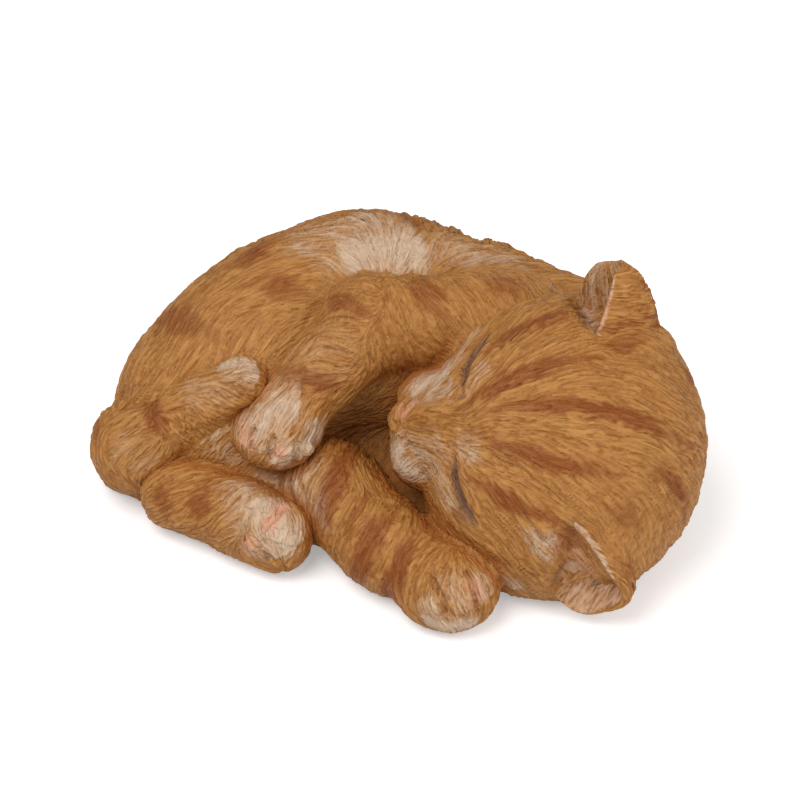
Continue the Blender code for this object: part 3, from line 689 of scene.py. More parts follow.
strokes = {
    ("carved", "head"): [
        # eyes, each a slit between two lids in a shallow socket
        (1.5, 1.3, 0.3, 1.5, 461, 390, 464, 380, 468, 367, 475, 353, 489, 333),
        (1.5, 1.3, 0.3, 1.5, 453, 460, 455, 474, 458, 490, 464, 507, 477, 524),
        (3, -0.8, 0.15, 1.5, 453, 384, 458, 369, 465, 354, 476, 340),
        (3.4, -0.8, 0.15, 1.5, 473, 386, 480, 371, 488, 355, 497, 343),
        (3, -0.8, 0.15, 1.5, 445, 466, 446, 484, 451, 502, 460, 518),
        (3.4, -0.8, 0.15, 1.5, 465, 466, 468, 482, 475, 500, 486, 515),
        (5, 1, 0.15, 1.5, 452, 398, 462, 402, 474, 398),
        (5, 1, 0.15, 1.5, 445, 448, 457, 447, 469, 452),
        # nose and mouth
        (1.2, 0.7, 0.4, 1.5, 424, 398, 414, 402, 406, 410, 402, 420),
        (1.1, 0.6, 0.4, 1.5, 402, 418, 401, 428, 404, 437, 411, 445),
        (2.2, 1, 0.15, 1, 392, 426, 398, 427, 403, 430),
        (1.2, 0.5, 0.15, 1.5, 408, 441, 412, 446),
    ],
    ("carved", "right_foreleg"): [
        # toes
        (1.4, 1.5, 0.15, 1.5, 254, 426, 251, 438, 250, 452),
        (1.4, 1.5, 0.15, 1.5, 274, 434, 271, 446, 271, 460),
        (1.3, 1.1, 0.15, 1.5, 297, 440, 297, 452, 294, 466),
        (3.4, -0.8, 0.15, 1.5, 262, 438, 260, 450),
        (3.4, -0.8, 0.15, 1.5, 284, 442, 283, 456),
        (2, -1.6, 0.15, 1.5, 306, 446, 309, 451),
    ],
    ("carved", "left_foreleg"): [
        # toes
        (1.3, 1.4, 0.15, 1.5, 427, 573, 436, 588, 443, 600, 445, 620),
        (1.4, 1.6, 0.15, 1.5, 464, 566, 470, 578, 475, 592, 479, 611),
        (4, -0.7, 0.15, 1.5, 455, 575, 460, 595, 464, 615),
        (3.5, -0.6, 0.15, 1.5, 430, 600, 432, 615),
    ],
    ("carved", "right_hind_leg"): [
        # the fold above the hock, and the foot's ridge
        (1.6, 1.2, 0.15, 1.5, 112, 412, 132, 402, 152, 396, 170, 386),
        (4, -0.8, 0.15, 1.5, 160, 402, 190, 386, 220, 374, 248, 368),
    ],
    ("carved", "left_hind_leg"): [
        # sole, with the crease above its pad
        (1.5, 1.2, 0.15, 1.5, 284, 505, 276, 515, 266, 524, 259, 534),
        (4.5, -0.9, 0.15, 1.5, 262, 500, 256, 512),
        (5, -0.8, 0.15, 1.5, 288, 530, 284, 545),
        (2.6, -0.8, 0.15, 1.5, 248, 538, 256, 549),
        (1.3, 0.9, 0.15, 1.5, 262, 538, 265, 552, 272, 562),
    ],
    ("stripe", "body_shell"): [
        (5.5, 1, 0.5, 1.5, 218, 272, 240, 262, 268, 243, 290, 232),
        (5.5, 0.65, 0.5, 1.5, 240, 284, 275, 284, 312, 300),
        (6.5, 0.85, 0.5, 1.5, 155, 314, 182, 322, 215, 334),
        (5, 0.8, 0.5, 1.5, 400, 210, 412, 224, 420, 238),
        (4, 0.7, 0.5, 1.5, 128, 385, 122, 400, 108, 412),
        (3, 0.5, 0.5, 1.5, 450, 262, 500, 262, 560, 274),
    ],
    ("stripe", "head"): [
        (3.4, 1, 0.4, 1.5, 444, 420, 462, 406, 487, 391, 523, 375, 560, 362, 600, 355),
        (3.4, 1, 0.35, 1.5, 474, 413, 507, 405, 560, 405, 610, 412, 650, 424, 694, 447),
        (3.6, 1, 0.4, 1.5, 470, 428, 498, 447, 534, 457, 558, 466, 600, 470, 625, 474),
        (3.6, 1, 0.45, 1.5, 640, 468, 668, 478, 686, 498, 684, 525),
        (3.6, 1, 0.4, 1.5, 464, 468, 480, 485, 505, 500, 530, 512, 570, 526),
        (3, 0.85, 0.4, 1.5, 424, 484, 438, 512, 455, 535, 482, 552, 534, 576),
        (3.4, 1, 0.4, 1.5, 482, 368, 492, 350, 505, 338, 530, 326, 575, 308),
        (2.2, 0.8, 0.4, 1.5, 447, 348, 463, 326, 482, 310, 508, 297, 543, 290),
        (3.2, 0.35, 0.5, 1.5, 405, 426, 430, 428, 462, 421),
        (2.6, 0.7, 0.5, 1.5, 484, 385, 500, 377, 520, 368),
        (3.6, 0.6, 0.5, 1.5, 672, 350, 695, 385, 706, 415),
        (3, 0.6, 0.5, 1.5, 600, 500, 622, 512, 640, 530),
        # painted shadow in the hollow before the left ear, in the stripe colour
        (4.6, 0.95, 0.2, 1, 566, 524, 568, 538, 566, 552),
        (3.4, 0.8, 0.4, 1.5, 600, 344, 622, 346, 650, 334),
    ],
    ("stripe", "right_foreleg"): [
        (4.2, 0.9, 0.5, 1.5, 326, 300, 350, 304, 378, 322),
        (6, 0.75, 0.5, 1.5, 418, 276, 432, 300, 450, 330),
        (5.5, 0.75, 0.5, 1.5, 474, 276, 500, 284, 530, 300),
        (4, 1, 0.5, 1.5, 276, 370, 300, 376, 326, 383, 350, 392),
    ],
    ("stripe", "left_foreleg"): [
        (4.4, 1, 0.3, 1.5, 358, 441, 340, 468, 328, 500, 320, 545),
        (4.4, 1, 0.3, 1.5, 394, 506, 374, 530, 362, 560, 352, 590),
        (4.2, 1, 0.3, 1.5, 420, 530, 404, 556, 394, 580, 386, 612),
        (2.4, 0.6, 0.5, 1.5, 376, 478, 352, 520, 340, 560),
    ],
    ("stripe", "right_hind_leg"): [
        (4.8, 1, 0.3, 1.5, 150, 388, 152, 405, 157, 420, 168, 436),
        (3.2, 0.7, 0.5, 1.5, 98, 410, 96, 428, 100, 448),
    ],
    ("stripe", "left_hind_leg"): [
        (3.6, 0.9, 0.5, 1.5, 170, 480, 162, 498, 166, 520),
        (4.2, 0.9, 0.5, 1.5, 208, 478, 198, 500, 208, 534),
    ],
    ("stripe", "tail"): [
        (6, 1, 0.5, 1.5, 100, 440, 112, 466, 126, 486),
    ],
    ("white", "body_shell"): [
        (15, 0.95, 0.15, 0.95, 334, 264, 362, 252, 396, 248, 432, 250),
        (12, 0.65, 0.15, 0.9, 360, 212, 376, 226, 384, 262),
        (14, 0.42, 0.15, 0.8, 290, 250, 320, 236, 350, 226),
        (14, 0.35, 0.15, 0.8, 430, 240, 480, 258, 530, 264),
        (14, 0.7, 0.02, 0.9, 262, 470, 285, 480, 300, 510),
        (10, 0.45, 0.1, 0.7, 200, 438, 225, 440, 245, 456),
    ],
    ("white", "head"): [
        (11, 0.9, 0.05, 1, 448, 374, 432, 378, 410, 390),
        (6, 0.6, 0.15, 0.8, 425, 396, 440, 392, 456, 384),
        (9, 0.95, 0.15, 1.1, 392, 440, 396, 462, 412, 484),
        (9, 0.55, 0.05, 0.9, 410, 456, 430, 458, 446, 452),
        (6, 0.5, 0.05, 0.8, 568, 562, 580, 574, 592, 584),
        (4, 0.6, 0.15, 1, 584, 300, 588, 316, 592, 332),
        (6, 0.55, 0.15, 0.8, 440, 468, 444, 490, 454, 512),
        (5.5, 0.5, 0.15, 0.8, 452, 446, 466, 450, 478, 458),
        (4.6, 0.6, 0.15, 0.8, 454, 372, 462, 350, 482, 324),
        (3.4, 0.25, 0.15, 1, 470, 388, 480, 374, 486, 362),
        (2.6, 0.6, 0.4, 1, 520, 526, 538, 540, 552, 552),
        (2.4, 0.6, 0.4, 1, 530, 524, 548, 538, 558, 548),
        (2.6, 0.7, 0.4, 1, 528, 540, 544, 555, 556, 564),
        (4, 0.6, 0.15, 1.1, 495, 575, 520, 590),
    ],
    ("white", "right_foreleg"): [
        (11, 0.85, 0.02, 0.8, 300, 410, 275, 408, 254, 420, 248, 448),
        (11, 0.85, 0.02, 0.8, 322, 425, 306, 448, 270, 460),
        (12, 0.1, 0.15, 0.8, 290, 350, 330, 350, 362, 346),
    ],
    ("white", "left_foreleg"): [
        (5, 0.9, 0.15, 1.2, 418, 618, 446, 628, 478, 624),
        (6.5, 0.5, 0.05, 0.7, 424, 596, 434, 616),
        (7, 0.5, 0.05, 0.7, 478, 572, 484, 600),
        (11, 0.7, 0.02, 0.8, 292, 462, 294, 500, 300, 540),
        (9, 0.4, 0.05, 0.7, 440, 575, 458, 600, 464, 618),
    ],
    ("white", "right_hind_leg"): [
        (6.5, 0.85, 0.02, 1, 222, 366, 240, 366, 258, 376),
        (8, 0.22, 0.15, 0.8, 180, 395, 210, 388, 240, 390),
        (10, 0.12, 0.15, 0.8, 112, 440, 135, 455, 150, 470),
    ],
    ("white", "left_hind_leg"): [
        (11, 0.95, 0.05, 1, 258, 498, 276, 528, 292, 552),
        (10, 0.65, 0.05, 0.8, 246, 480, 250, 520, 266, 560),
    ],
    ("pink", "head"): [
        (5.5, 0.4, 0.15, 0.9, 414, 402, 402, 408, 396, 416),
        (1.8, 0.6, 0.15, 1, 423, 400, 413, 403, 405, 411, 402, 420),
        (1.4, 0.8, 0.15, 1.2, 402, 422, 404, 434, 409, 442),
        (2.6, 0.5, 0.15, 1.1, 392, 440, 391, 462),
        (1.8, 0.6, 0.15, 1.1, 463, 392, 470, 389),
        (3, 0.4, 0.15, 1.1, 556, 540, 560, 556),
        (5, 0.7, 0.05, 0.9, 574, 548, 584, 562, 592, 576),
        (3, 0.5, 0.15, 1, 590, 305, 594, 322),
    ],
    ("pink", "right_foreleg"): [
        (3.4, 0.8, 0.15, 1.2, 241, 424, 246, 438, 249, 450),
        (3, 0.8, 0.15, 1.2, 276, 444, 281, 458),
    ],
    ("pink", "left_foreleg"): [
        (3.4, 0.55, 0.15, 1.2, 470, 575, 476, 592, 477, 608),
    ],
    ("pink", "left_hind_leg"): [
        (3.2, 1, 0.15, 1.2, 286, 503, 274, 517, 262, 532),
        (3.4, 0.8, 0.15, 1.2, 247, 537, 255, 549),
    ],
    ("line", "head"): [
        (2.1, 1, 0.25, 1.1, 461, 391, 464, 381, 468, 368, 474, 355, 489, 333),
        (2.1, 1, 0.2, 1.1, 453, 457, 455, 470, 457, 487, 464, 507, 478, 526),
        (1.2, 0.55, 0.15, 1.5, 456, 396, 464, 393),
        (2.4, 0.45, 0.15, 1, 456, 502, 464, 518, 478, 526),
        (1.3, 0.6, 0.15, 1.5, 408, 440, 412, 446),
        (1, 0.4, 0.15, 1.5, 419, 401, 413, 404),
        # painted shade in the left ear's opening, in the grey
        (1.8, 0.55, 0.15, 0.9, 561, 562, 557, 574, 553, 586),
    ],
    ("line", "left_hind_leg"): [
        (1.6, 0.4, 0.15, 1, 262, 552, 268, 562),
    ],
}
# Stripes guessed on the far side, with x and z in millimetres as their places
farStripes = {
    "body_shell": [
        (5, 1, 0.5, 1.5, -62, 40, -58, 28, -56, 14),
        (5.5, 1, 0.5, 1.5, -42, 50, -36, 34, -36, 16),
        (5.5, 1, 0.5, 1.5, -18, 57, -13, 40, -14, 18),
        (5.5, 1, 0.5, 1.5, 6, 56, 9, 38, 8, 16),
        (5, 1, 0.5, 1.5, 28, 46, 32, 30, 30, 12),
        (4.5, 1, 0.5, 1.5, 50, 34, 52, 22, 50, 10),
    ],
    "tail": [
        (4, 1, 0.5, 1.5, -52, 14, -54, 4),
        (4, 1, 0.5, 1.5, -64, 10, -66, 3),
    ],
}


def readStroke(row, behind=False):
    # A row's numbers under their names, with its places in pairs.
    width, size, fade, edge, *places = row
    places = np.reshape(places, (-1, 2)).astype(float)
    return {"width": width, "size": size, "fade": fade, "edge": edge, "places": places, "behind": behind}


laid = {key: [readStroke(row) for row in rows] for key, rows in strokes.items()}
for name, rows in farStripes.items():
    laid["stripe", name] += [readStroke(row, behind=True) for row in rows]
allStrokes = [stroke for group in laid.values() for stroke in group]
layStrokes(allStrokes)
print("strokes laid:", len(allStrokes))


# How far the edge of a stroke wanders with the fur in millimetres, and the share of that on lines
strokeWander = {"strand": 0.5, "clump": 0.35, "line": 0.15}


def paintValues(name, points, strand, clump):
    # Each layer is the strongest of its strokes, whose edges wander with the strands.
    wander = strokeWander["strand"] * (strand - fur["strandMean"]) + strokeWander["clump"] * clump
    values = {}
    for layer in ("stripe", "white", "pink", "line"):
        value = np.zeros(len(points))
        rough = wander * (strokeWander["line"] if layer == "line" else 1.0)
        for stroke in laid.get((layer, name), ()):
            value = np.maximum(value, strokeMask(stroke, points, rough) * stroke["size"])
        values[layer] = value
    return values


def addPiece(name, points, faces, values, flow):
    # The painted surface stands for the casting of the same name.
    thing = makeMesh(name + "_paint", points, faces, values, flow)
    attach(thing, "root")
    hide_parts(name)
    print("dressed", name, len(points))
    return thing


def dress(name):
    # A casting's surface where the rays meet it, raised along its slope by the fur's relief and
    # lowered by the carved strokes, both of which die out at the underside.
    casting = castings[name]
    field = pieceField(name)
    along = int(casting["along"] * fineness)
    around = int(casting["around"] * fineness)
    shares = (np.arange(along) + 0.5) / along
    angles = roundAngles(around, casting["face"], casting["lean"])
    base = gridPlaces(field, casting["line"], shares, angles)
    start, way = raysOut(casting["line"], np.array((0.0, 1.0)), np.zeros(2))
    travel = travelOut(field, start, way, np.zeros(2), *raySteps["poles"])
    base = np.concatenate((base, start + travel[:, None] * way))
    normals = slopeOf(field, base)
    gain = furGain(base)
    flow = furFlow(name, base, normals) * np.clip(gain, fur["shortest"], 1.0)[:, None]
    relief, strand, clump = furRelief(base, flow, gain)
    settled = ease((base[:, 2] - underside) / fur["settle"])
    depth = np.zeros(len(base))
    for stroke in laid.get(("carved", name), ()):
        depth += stroke["size"] * strokeMask(stroke, base)
    shaped = base + ((relief - depth) * settled)[:, None] * normals
    values = paintValues(name, base, strand, clump)
    # Painted shade, with a brown wash, in the hollows between the castings
    values["shade"] = hollowness(base, normals)
    values["strand"] = strand
    return addPiece(name, shaped, gridFaces(along, around), values, flow)


# Ears: each is a sheet between two rims, with a back and an inside. Places are on the head's own
# directions from the ear's seat, the left ear's mirrored. A mark is its layer, the back (1) or the
# inside (-1), its middle up the ear and across it, its reach both ways, and its strength.

ears = {
    "right_ear": {
        "side": 1.0, "seat": (1.39, 28.65, 11.78), "back": (1.0, 0.1), "inside": (0.3, 1.0),
        "inner": ((-3, -5, 8), (-5.2, 6.9, 10.4), (-5.4, 15.2, 9.4)),
        "outer": ((2, 5.5, -8), (0.4, 13.6, 0.4), (-4.4, 17.8, 3.0)),
        "bulge": ((-19, -5, -2), (-12.6, -1, 0), (-1.8, 0, 0)),
        "marks": [
            ("stripe", 1, 0.62, 0.0, 0.10, 0.5, 0.8), ("stripe", 1, 0.30, 0.0, 0.12, 0.7, 1.0),
            ("stripe", 1, 0.02, -0.5, 0.10, 0.6, 0.8), ("stripe", -1, 0.97, 0.0, 0.12, 1.0, 0.3),
            ("white", 1, 0.5, -1.0, 0.7, 0.03, 0.4), ("white", -1, 0.5, -1.0, 0.7, 0.10, 0.6),
            ("pink", -1, 0.35, -0.8, 0.35, 0.4, 0.7), ("pink", 1, 0.3, -1.0, 0.3, 0.03, 0.5),
            # On the inside, the shade mark is painted shade low in the ear's hollow.
            ("white", -1, 0.5, 0.3, 0.9, 1.2, 0.3), ("shade", -1, 0.1, 0.1, 0.25, 0.9, 0.4),
        ],
    },
    "left_ear": {
        "side": -1.0, "seat": (5.99, 27.39, 12.21), "back": (1.0, 0.1), "inside": (0.8, 0.6),
        "inner": ((-7, -7.2, 12), (-16, 0.8, 9.2), (-22.8, 8.4, 3.6)),
        "outer": ((-6, 7.6, -7.7), (-13.6, 13, -7.6), (-20.8, 11.8, -4.4)),
        "bulge": ((-17, -1.5, -2), (-11.6, -0.5, -2), (-2, 0, 0)),
        "marks": [
            ("stripe", 1, 0.12, -0.3, 0.12, 0.5, 0.8), ("stripe", 1, 0.36, -0.2, 0.10, 0.5, 0.9),
            # On the inside, the stripe mark at the root is painted shadow in the ear's hollow, in the stripe
            # colour.
            ("stripe", 1, 0.66, -0.3, 0.10, 0.5, 0.7), ("stripe", -1, 0.0, -0.5, 0.14, 0.6, 1.0),
            ("white", 1, 0.5, -1.0, 0.7, 0.09, 0.6), ("white", -1, 0.5, -1.0, 0.7, 0.12, 0.6),
            ("pink", -1, 0.40, 0.0, 0.60, 1.0, 0.28), ("white", -1, 0.45, 0.35, 0.6, 0.9, 0.45),
            # On the inside, the shade mark is painted shade at the root, and the line mark painted shade in
            # the ear's opening.
            ("shade", -1, 0.0, -0.3, 0.20, 0.8, 0.8), ("line", -1, 0.03, 0.55, 0.06, 0.12, 0.9),
        ],
    },
}


# What both ears share: rows and their points, shares of the rise, walls in millimetres, and the
# powers by which walls and fur thin out. Pairs are for the back and for the inside.
earMake = {
    "rows": 190, "halfRow": 200, "root": -0.13, "blunt": 0.72, "split": 0.7, "probe": 0.004,
    "wall": 0.95, "wallLoss": 0.35, "flare": 2.4, "flareFrom": -0.02, "flareReach": 0.10,
    "rimPower": 0.4, "tipPower": 0.6, "furPower": 0.3, "flow": (0.9, 0.7), "furHeight": (0.75, 0.4),
    "wander": {"clump": 0.10, "strand": 0.06}, "markCore": 1.35, "markEdge": 1.2,
}


def through(places, share):
    # The parabola through three places, at shares 0, a half and 1.
    share = share[:, None]
    first, middle, last = np.array(places, float)
    low = 2 * (share - 0.5) * (share - 1) * first
    return low + 4 * share * (1 - share) * middle + 2 * share * (share - 0.5) * last


def earSheet(ear, rise, over):
    # Between the two rims' parabolas, plus a bulge that is largest halfway across.
    shape = (1 - over)[:, None] / 2 * through(ear["inner"], rise)
    shape = shape + (1 + over)[:, None] / 2 * through(ear["outer"], rise)
    shape = shape + (1 - over ** 2)[:, None] * through(ear["bulge"], rise) + ear["seat"]
    shape = shape * (1.0, ear["side"], 1.0)
    return headMiddle + shape @ headTurn.T


def dressEar(name):
    # Round each row the sheet is passed once on its back and once on its inside. The rows climb
    # evenly to the blunt share and close at the tip by a quarter turn. The wall is thick at the
    # root, where it flares into the head as a falling exponential, and rounds off at the rims.
    ear, make = ears[name], earMake
    along = int(make["rows"] * fineness)
    around = 2 * int(make["halfRow"] * fineness)
    root, blunt, split, small = make["root"], make["blunt"], make["split"], make["probe"]
    step = (np.arange(along) + 0.5) / along
    turn = np.where(step < split, 0.0, (step - split) / (1.0 - split)) * math.pi / 2.0
    climb = root + (blunt - root) * step / split
    rise = np.where(step < split, climb, blunt + (1.0 - blunt) * np.sin(turn))
    loop = 2.0 * math.pi * np.arange(around) / around
    riseAll, turnAll = np.repeat(rise, around), np.repeat(turn, around)
    loopAll = np.tile(loop, along)
    over = -np.cos(loopAll) * np.cos(turnAll)
    alongRise = earSheet(ear, riseAll + small, over) - earSheet(ear, riseAll - small, over)
    acrossSheet = earSheet(ear, riseAll, over + small) - earSheet(ear, riseAll, over - small)
    outward = unit(np.cross(acrossSheet, alongRise) * ear["side"])
    facing = np.sin(loopAll)
    wall = make["wall"] - make["wallLoss"] * np.clip(riseAll, 0.0, 1.0)
    flare = np.exp(-np.maximum(riseAll - make["flareFrom"], 0.0) / make["flareReach"])
    rounding = np.sign(facing) * np.abs(facing) ** make["rimPower"] * np.cos(turnAll) ** make["tipPower"]
    thick = (wall + make["flare"] * flare) * rounding
    base = earSheet(ear, riseAll, over) + thick[:, None] * outward
    tip = earSheet(ear, np.array((1.0,)), np.array((0.0,)))
    back = facing > 0
    normals = np.where(back[:, None], outward, -outward)
    lie = np.where(back[:, None], ear["back"], ear["inside"])
    flow = unit(lie[:, :1] * unit(acrossSheet) + lie[:, 1:] * unit(alongRise))
    flow *= np.where(back, *make["flow"])[:, None]
    relief, strand, clump = furRelief(base, flow, np.where(back, *make["furHeight"]))
    shaped = base + (relief * np.abs(facing) ** make["furPower"])[:, None] * normals
    values = {layer: np.zeros(len(base)) for layer in ("stripe", "white", "pink", "line", "shade")}
    wander = make["wander"]["clump"] * clump + make["wander"]["strand"] * (strand - fur["strandMean"])
    for layer, side, riseAt, overAt, riseReach, overReach, strength in ear["marks"]:
        gap = np.hypot((riseAll + wander - riseAt) / riseReach, (over - overAt) / overReach)
        share = ease((make["markCore"] - gap) * make["markEdge"]) * strength
        values[layer] = np.maximum(values[layer], share * (np.sign(facing) == side))
    values["strand"] = strand
    shaped = np.concatenate((shaped, tip))
    flow = np.concatenate((flow, flow[-1:]))
    values = {layer: np.append(value, value[-1]) for layer, value in values.items()}
    index = np.arange(along * around).reshape(along, around)
    after = np.roll(index, -1, axis=1)
    quads = np.stack((index[:-1], after[:-1], after[1:], index[1:]), axis=-1).reshape(-1, 4)
    half = around // 2
    near = np.arange(1, half - 1)
    far = around - near
    foot = np.column_stack((near, far, far - 1, near + 1))
    point = np.column_stack((index[-1], after[-1], np.full(around, along * around)))
    ends = np.array(((0, around - 1, 1), (half, half - 1, half + 1)))
    faces = [quads, foot, np.concatenate((point, ends))]
    if ear["side"] < 0:
        faces = [face[:, ::-1] for face in faces]
    return addPiece(name, shaped, faces, values, flow)


dressed = [dress(name) for name in castings] + [dressEar(name) for name in ears]


# Shader maths written as sums: a socket wrapped so that + - * add Math nodes


class Wire:
    def __init__(self, tree, socket):
        self.tree = tree
        self.socket = socket

    def math(self, operation, *others):
        node = self.tree.nodes.new("ShaderNodeMath")
        node.operation = operation
        for slot, value in zip(node.inputs, (self, *others)):
            if isinstance(value, Wire):
                self.tree.links.new(value.socket, slot)
            else:
                slot.default_value = value
        return Wire(self.tree, node.outputs[0])

    def __add__(self, other):
        return self.math("ADD", other)

    def __sub__(self, other):
        return self.math("SUBTRACT", other)

    def __rsub__(self, other):
        return (self * -1.0) + other

    def __mul__(self, other):
        return self.math("MULTIPLY", other)

    __radd__ = __add__
    __rmul__ = __mul__

    def held(self, low=0.0, high=1.0):
        return self.math("MAXIMUM", low).math("MINIMUM", high)


class Paint:
    # A material and its nodes, each made by one method.
    def __init__(self, name):
        self.material = bpy.data.materials.new(name)
        self.material.use_nodes = True
        self.tree = self.material.node_tree
        self.tree.nodes.clear()

    def node(self, kind, settings=None, values=None, output=0):
        node = self.tree.nodes.new("ShaderNode" + kind)
        for key, value in (settings or {}).items():
            setattr(node, key, value)
        for key, value in (values or {}).items():
            if isinstance(value, Wire):
                self.tree.links.new(value.socket, node.inputs[key])
            else:
                node.inputs[key].default_value = value
        return Wire(self.tree, node.outputs[output]) if len(node.outputs) else node

    def layer(self, name, output=2):
        return self.node("Attribute", {"attribute_name": name}, output=output)

    def mix(self, share, first, second):
        def colour(value):
            return value if isinstance(value, Wire) else (*value, 1.0)
        values = {0: share, 6: colour(first), 7: colour(second)}
        return self.node("Mix", {"data_type": "RGBA"}, values, 2)

    def noise(self, place, scale, detail, bend=0.0):
        values = {"Vector": place, "Scale": scale, "Detail": detail, "Distortion": bend}
        return self.node("TexNoise", values=values)

    def place(self):
        return self.node("TexCoord", output=3)

    def shifted(self, place, way, distance):
        step = self.node("VectorMath", {"operation": "SCALE"}, {0: way, 3: distance})
        return self.node("VectorMath", {"operation": "ADD"}, {0: place, 1: step})

    def finish(self, values):
        shader = self.node("BsdfPrincipled", values=values)
        self.node("OutputMaterial", values={"Surface": shader})
        return self.material


colours = {
    "ginger": (0.235, 0.074, 0.0105),
    "gold": (0.455, 0.213, 0.056),
    "stripe": (0.195, 0.044, 0.004),
    "white": (0.56, 0.42, 0.30),
    "pink": (0.60, 0.28, 0.17),
    # painted shade in the hollows, partly a red-brown paint wash
    "shadeAndWash": (0.33, 0.106, 0.020),
    "grey": (0.125, 0.066, 0.046),
}


# Scales are per metre and reaches in millimetres. A cover is a level, and what the ridges add.
coatLook = {
    "fine": {"scale": 1650.0, "reach": 1.8, "taps": 8, "gain": 21.0},
    "tone": {"scale": 430.0, "reach": 2.6, "taps": 4, "gain": 7.0},
    "ridge": {"fine": 0.10, "tone": 0.05, "strand": 0.34, "level": 0.53},
    "streaks": {"fine": 0.5, "tone": 0.9},
    "cover": {"stripe": (0.98, -0.35), "white": (0.7, 0.3), "pink": (0.5, 0.4)},
    # Painted shade with its brown wash: where it starts on the shade layer, and how fast it grows
    "shadeAndWash": {"from": 0.36, "gain": 1.5},
    "relief": {"most": 1.8, "height": 0.00008},
    "rough": {"level": 0.5, "fine": 0.05, "least": 0.35, "most": 0.7},
    "gloss": 0.22,
}


def furPaint():
    # Gold on the ridges of the strands and ginger between them, then each painted layer over it,
    # covering by a level and by how much of a ridge there is.
    coat = Paint("painted fur")
    place = coat.place()
    flow = coat.layer("flow", 1)

    def drawn(scale, reach, taps, gain):
        # The mean of the noise at a few places along the flow, about nothing, times the gain.
        total = None
        for step in range(taps):
            distance = (2.0 * step / (taps - 1) - 1.0) * reach * millimetre
            noise = coat.noise(coat.shifted(place, flow, distance), scale, 0.0)
            total = noise if total is None else total + noise
        return (total * (1.0 / taps) - 0.5) * gain

    fine, tone = drawn(**coatLook["fine"]), drawn(**coatLook["tone"])
    streaks = fine * coatLook["streaks"]["fine"] + tone * coatLook["streaks"]["tone"]

    def brushed(layer):
        # The paint goes on in streaks where it thins out.
        return (layer + layer * (1.0 - layer) * streaks).held()
    share = coatLook["ridge"]
    strand = (coat.layer("strand") - fur["strandMean"]) * share["strand"]
    ridge = (fine * share["fine"] + tone * share["tone"] + strand + share["level"]).held()
    colour = coat.mix(ridge, colours["ginger"], colours["gold"])
    for name, (level, onRidges) in coatLook["cover"].items():
        colour = coat.mix(brushed(coat.layer(name)) * (ridge * onRidges + level), colour, colours[name])
    # Painted shade in the hollows, partly a brown wash: the shade layer past a level mixes its colour in
    depth = ((coat.layer("shade") - coatLook["shadeAndWash"]["from"]) * coatLook["shadeAndWash"]["gain"]).held()
    colour = coat.mix(depth, colour, colours["shadeAndWash"])
    # Grey for the painted eye lines and mouth, and for painted shade in the left ear's opening
    colour = coat.mix(coat.layer("line"), colour, colours["grey"])
    relief, rough = coatLook["relief"], coatLook["rough"]
    height = fine.held(-relief["most"], relief["most"])
    normal = coat.node("Bump", {}, {"Strength": 1.0, "Distance": relief["height"], "Height": height})
    roughness = (rough["level"] - fine * rough["fine"]).held(rough["least"], rough["most"])
    return coat.finish({
        "Base Color": colour, "Normal": normal, "Roughness": roughness,
        "Specular IOR Level": coatLook["gloss"],
    })


furCoat = furPaint()
for thing in dressed:
    thing.data.materials.append(furCoat)


# Finishes of the hidden pieces, whose solids stay as they are

finishes = {
    "board": {
        "dark": (0.012, 0.010, 0.009), "light": (0.040, 0.033, 0.028), "grain": 320.0,
        "stretch": (0.06, 1.0, 1.0), "relief": 0.00008, "rough": 0.62, "metal": 0.0,
    },
    "felt": {
        "dark": (0.020, 0.011, 0.008), "light": (0.062, 0.037, 0.026), "grain": 900.0,
        "stretch": (1.0, 0.8, 1.0), "relief": 0.00025, "rough": 0.95, "metal": 0.0,
    },
    "beech": {
        "dark": (0.40, 0.25, 0.13), "light": (0.64, 0.45, 0.27), "grain": 420.0,
        "stretch": (0.07, 1.0, 1.0), "relief": 0.00006, "rough": 0.55, "metal": 0.0,
    },
    "steel": {
        "dark": (0.44, 0.44, 0.45), "light": (0.62, 0.62, 0.63), "grain": 1500.0,
        "stretch": (1.0, 1.0, 0.15), "relief": 0.00002, "rough": 0.30, "metal": 1.0,
    },
}
finishOf = {"base_plate": "board", "felt_pad": "felt", "neck_dowel": "beech"}
for name in ("right_foreleg", "left_foreleg", "right_hind_leg", "left_hind_leg", "tail"):
    finishOf[name + "_pin"] = "steel"
grainMix = {
    "coarse": {"scale": 0.3, "detail": 3.0, "bend": 0.4, "share": 1.3},
    "fine": {"scale": 2.4, "detail": 2.0, "bend": 0.0, "share": 1.4}, "relief": 0.8, "rough": 0.2,
}


def grainedFinish(name):
    # Two noises drawn out along the grain mix the dark and the light, and raise and roughen the skin.
    look = finishes[name]
    finish = Paint(name)
    place = finish.node("Mapping", {}, {"Vector": finish.place(), "Scale": look["stretch"]})
    coarse, fine = (
        finish.noise(place, look["grain"] * part["scale"], part["detail"], part["bend"]) - 0.5
        for part in (grainMix["coarse"], grainMix["fine"])
    )
    grain = coarse * grainMix["coarse"]["share"] + fine * grainMix["fine"]["share"]
    grain = (grain + 0.5).held()
    colour = finish.mix(grain, look["dark"], look["light"])
    bump = {"Strength": grainMix["relief"], "Distance": look["relief"], "Height": grain}
    normal = finish.node("Bump", values=bump)
    rough = (look["rough"] + fine * grainMix["rough"]).held()
    return finish.finish({
        "Base Color": colour, "Metallic": look["metal"], "Roughness": rough, "Normal": normal,
    })


made = {name: grainedFinish(name) for name in finishes}
for node, name in finishOf.items():
    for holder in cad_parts[node].material_slots:
        holder.material = made[name]
print("finished the hidden pieces:", len(finishOf))


# Floor, light and camera. A lamp is its place in metres, its size and its power.

studio = {
    "reach": 3.0, "floor": (0.86, 0.86, 0.86, 1.0), "rough": 0.9, "gloss": 0.1, "glow": 0.32,
    "key": ((-0.4, -0.35, 0.95), 0.8, 7.6), "fill": ((0.75, -0.5, 0.55), 0.8, 4.2), "world": 0.53,
}
plainWhite = (1.0, 1.0, 1.0, 1.0)


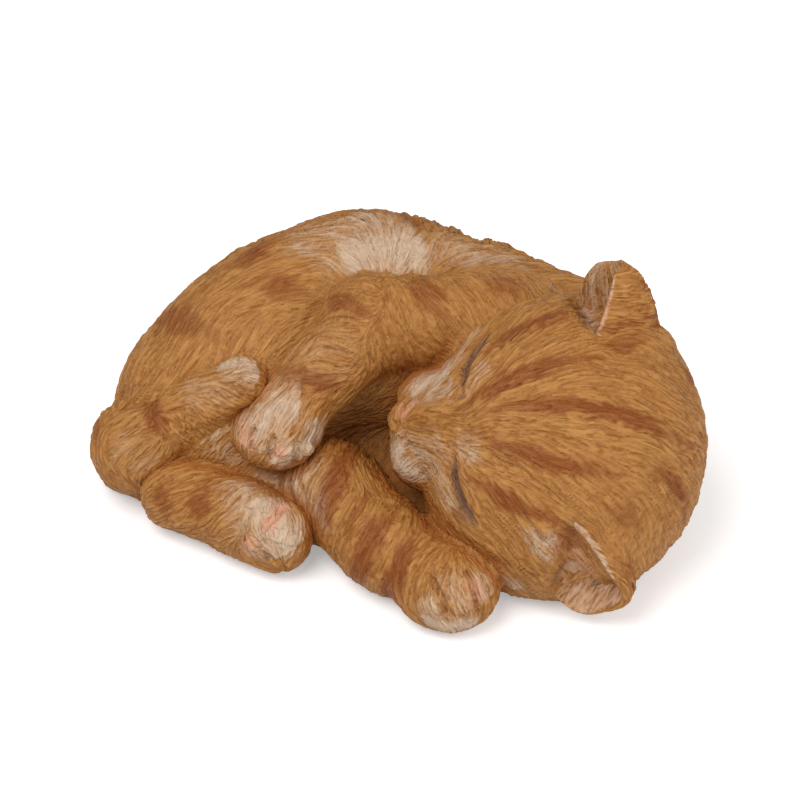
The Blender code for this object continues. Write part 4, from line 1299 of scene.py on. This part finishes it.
def makeFloor():
    # A flat sheet, which the camera alone sees a little brighter than it is lit.
    sheet = bpy.data.meshes.new("floor")
    reach = studio["reach"]
    corners = [(-reach, -reach, 0), (reach, -reach, 0), (reach, reach, 0), (-reach, reach, 0)]
    sheet.from_pydata(corners, [], [(0, 1, 2, 3)])
    floor = bpy.data.objects.new("floor", sheet)
    scene.collection.objects.link(floor)
    pale = Paint("pale floor")
    shader = pale.node("BsdfPrincipled", values={
        "Base Color": studio["floor"], "Roughness": studio["rough"], "Specular IOR Level": studio["gloss"],
    })
    glow = pale.node("Emission", values={"Color": plainWhite, "Strength": studio["glow"]})
    both = pale.node("AddShader", values={0: shader, 1: glow})
    seen = pale.node("MixShader", values={0: pale.node("LightPath"), 1: shader, 2: both})
    pale.node("OutputMaterial", values={"Surface": seen})
    sheet.materials.append(pale.material)
    floor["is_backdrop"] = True


def lamp(name):
    # A round lamp that faces the figure.
    place, size, power = studio[name]
    light = bpy.data.lights.new(name, "AREA")
    light.shape = "DISK"
    light.size = size
    light.energy = power
    holder = bpy.data.objects.new(name, light)
    holder.location = place
    holder.rotation_mode = "QUATERNION"
    holder.rotation_quaternion = Vector(place).to_track_quat("Z", "Y")
    scene.collection.objects.link(holder)


makeFloor()
lamp("key")
lamp("fill")
world = bpy.data.worlds.new("studio")
world.use_nodes = True
scene.world = world
sky = world.node_tree.nodes["Background"].inputs
sky["Color"].default_value = plainWhite
sky["Strength"].default_value = studio["world"]

lens = bpy.data.cameras.new("camera")
lens.sensor_width = viewpoint["sensor"]
lens.lens = viewpoint["sensor"] * viewpoint["distance"] * viewpoint["pointsPerMm"] / viewpoint["frame"]
lens.clip_start = viewpoint["nearest"]
holder = bpy.data.objects.new("camera", lens)
holder.location = eye * millimetre
holder.rotation_euler = (math.pi / 2.0 - tilt, 0.0, 0.0)
scene.collection.objects.link(holder)
scene.camera = holder

visualLow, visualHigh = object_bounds()
corners = (cadLow, cadHigh, visualLow, visualHigh)
print("sizes in mm:", [round(1000 * value, 1) for corner in corners for value in corner])
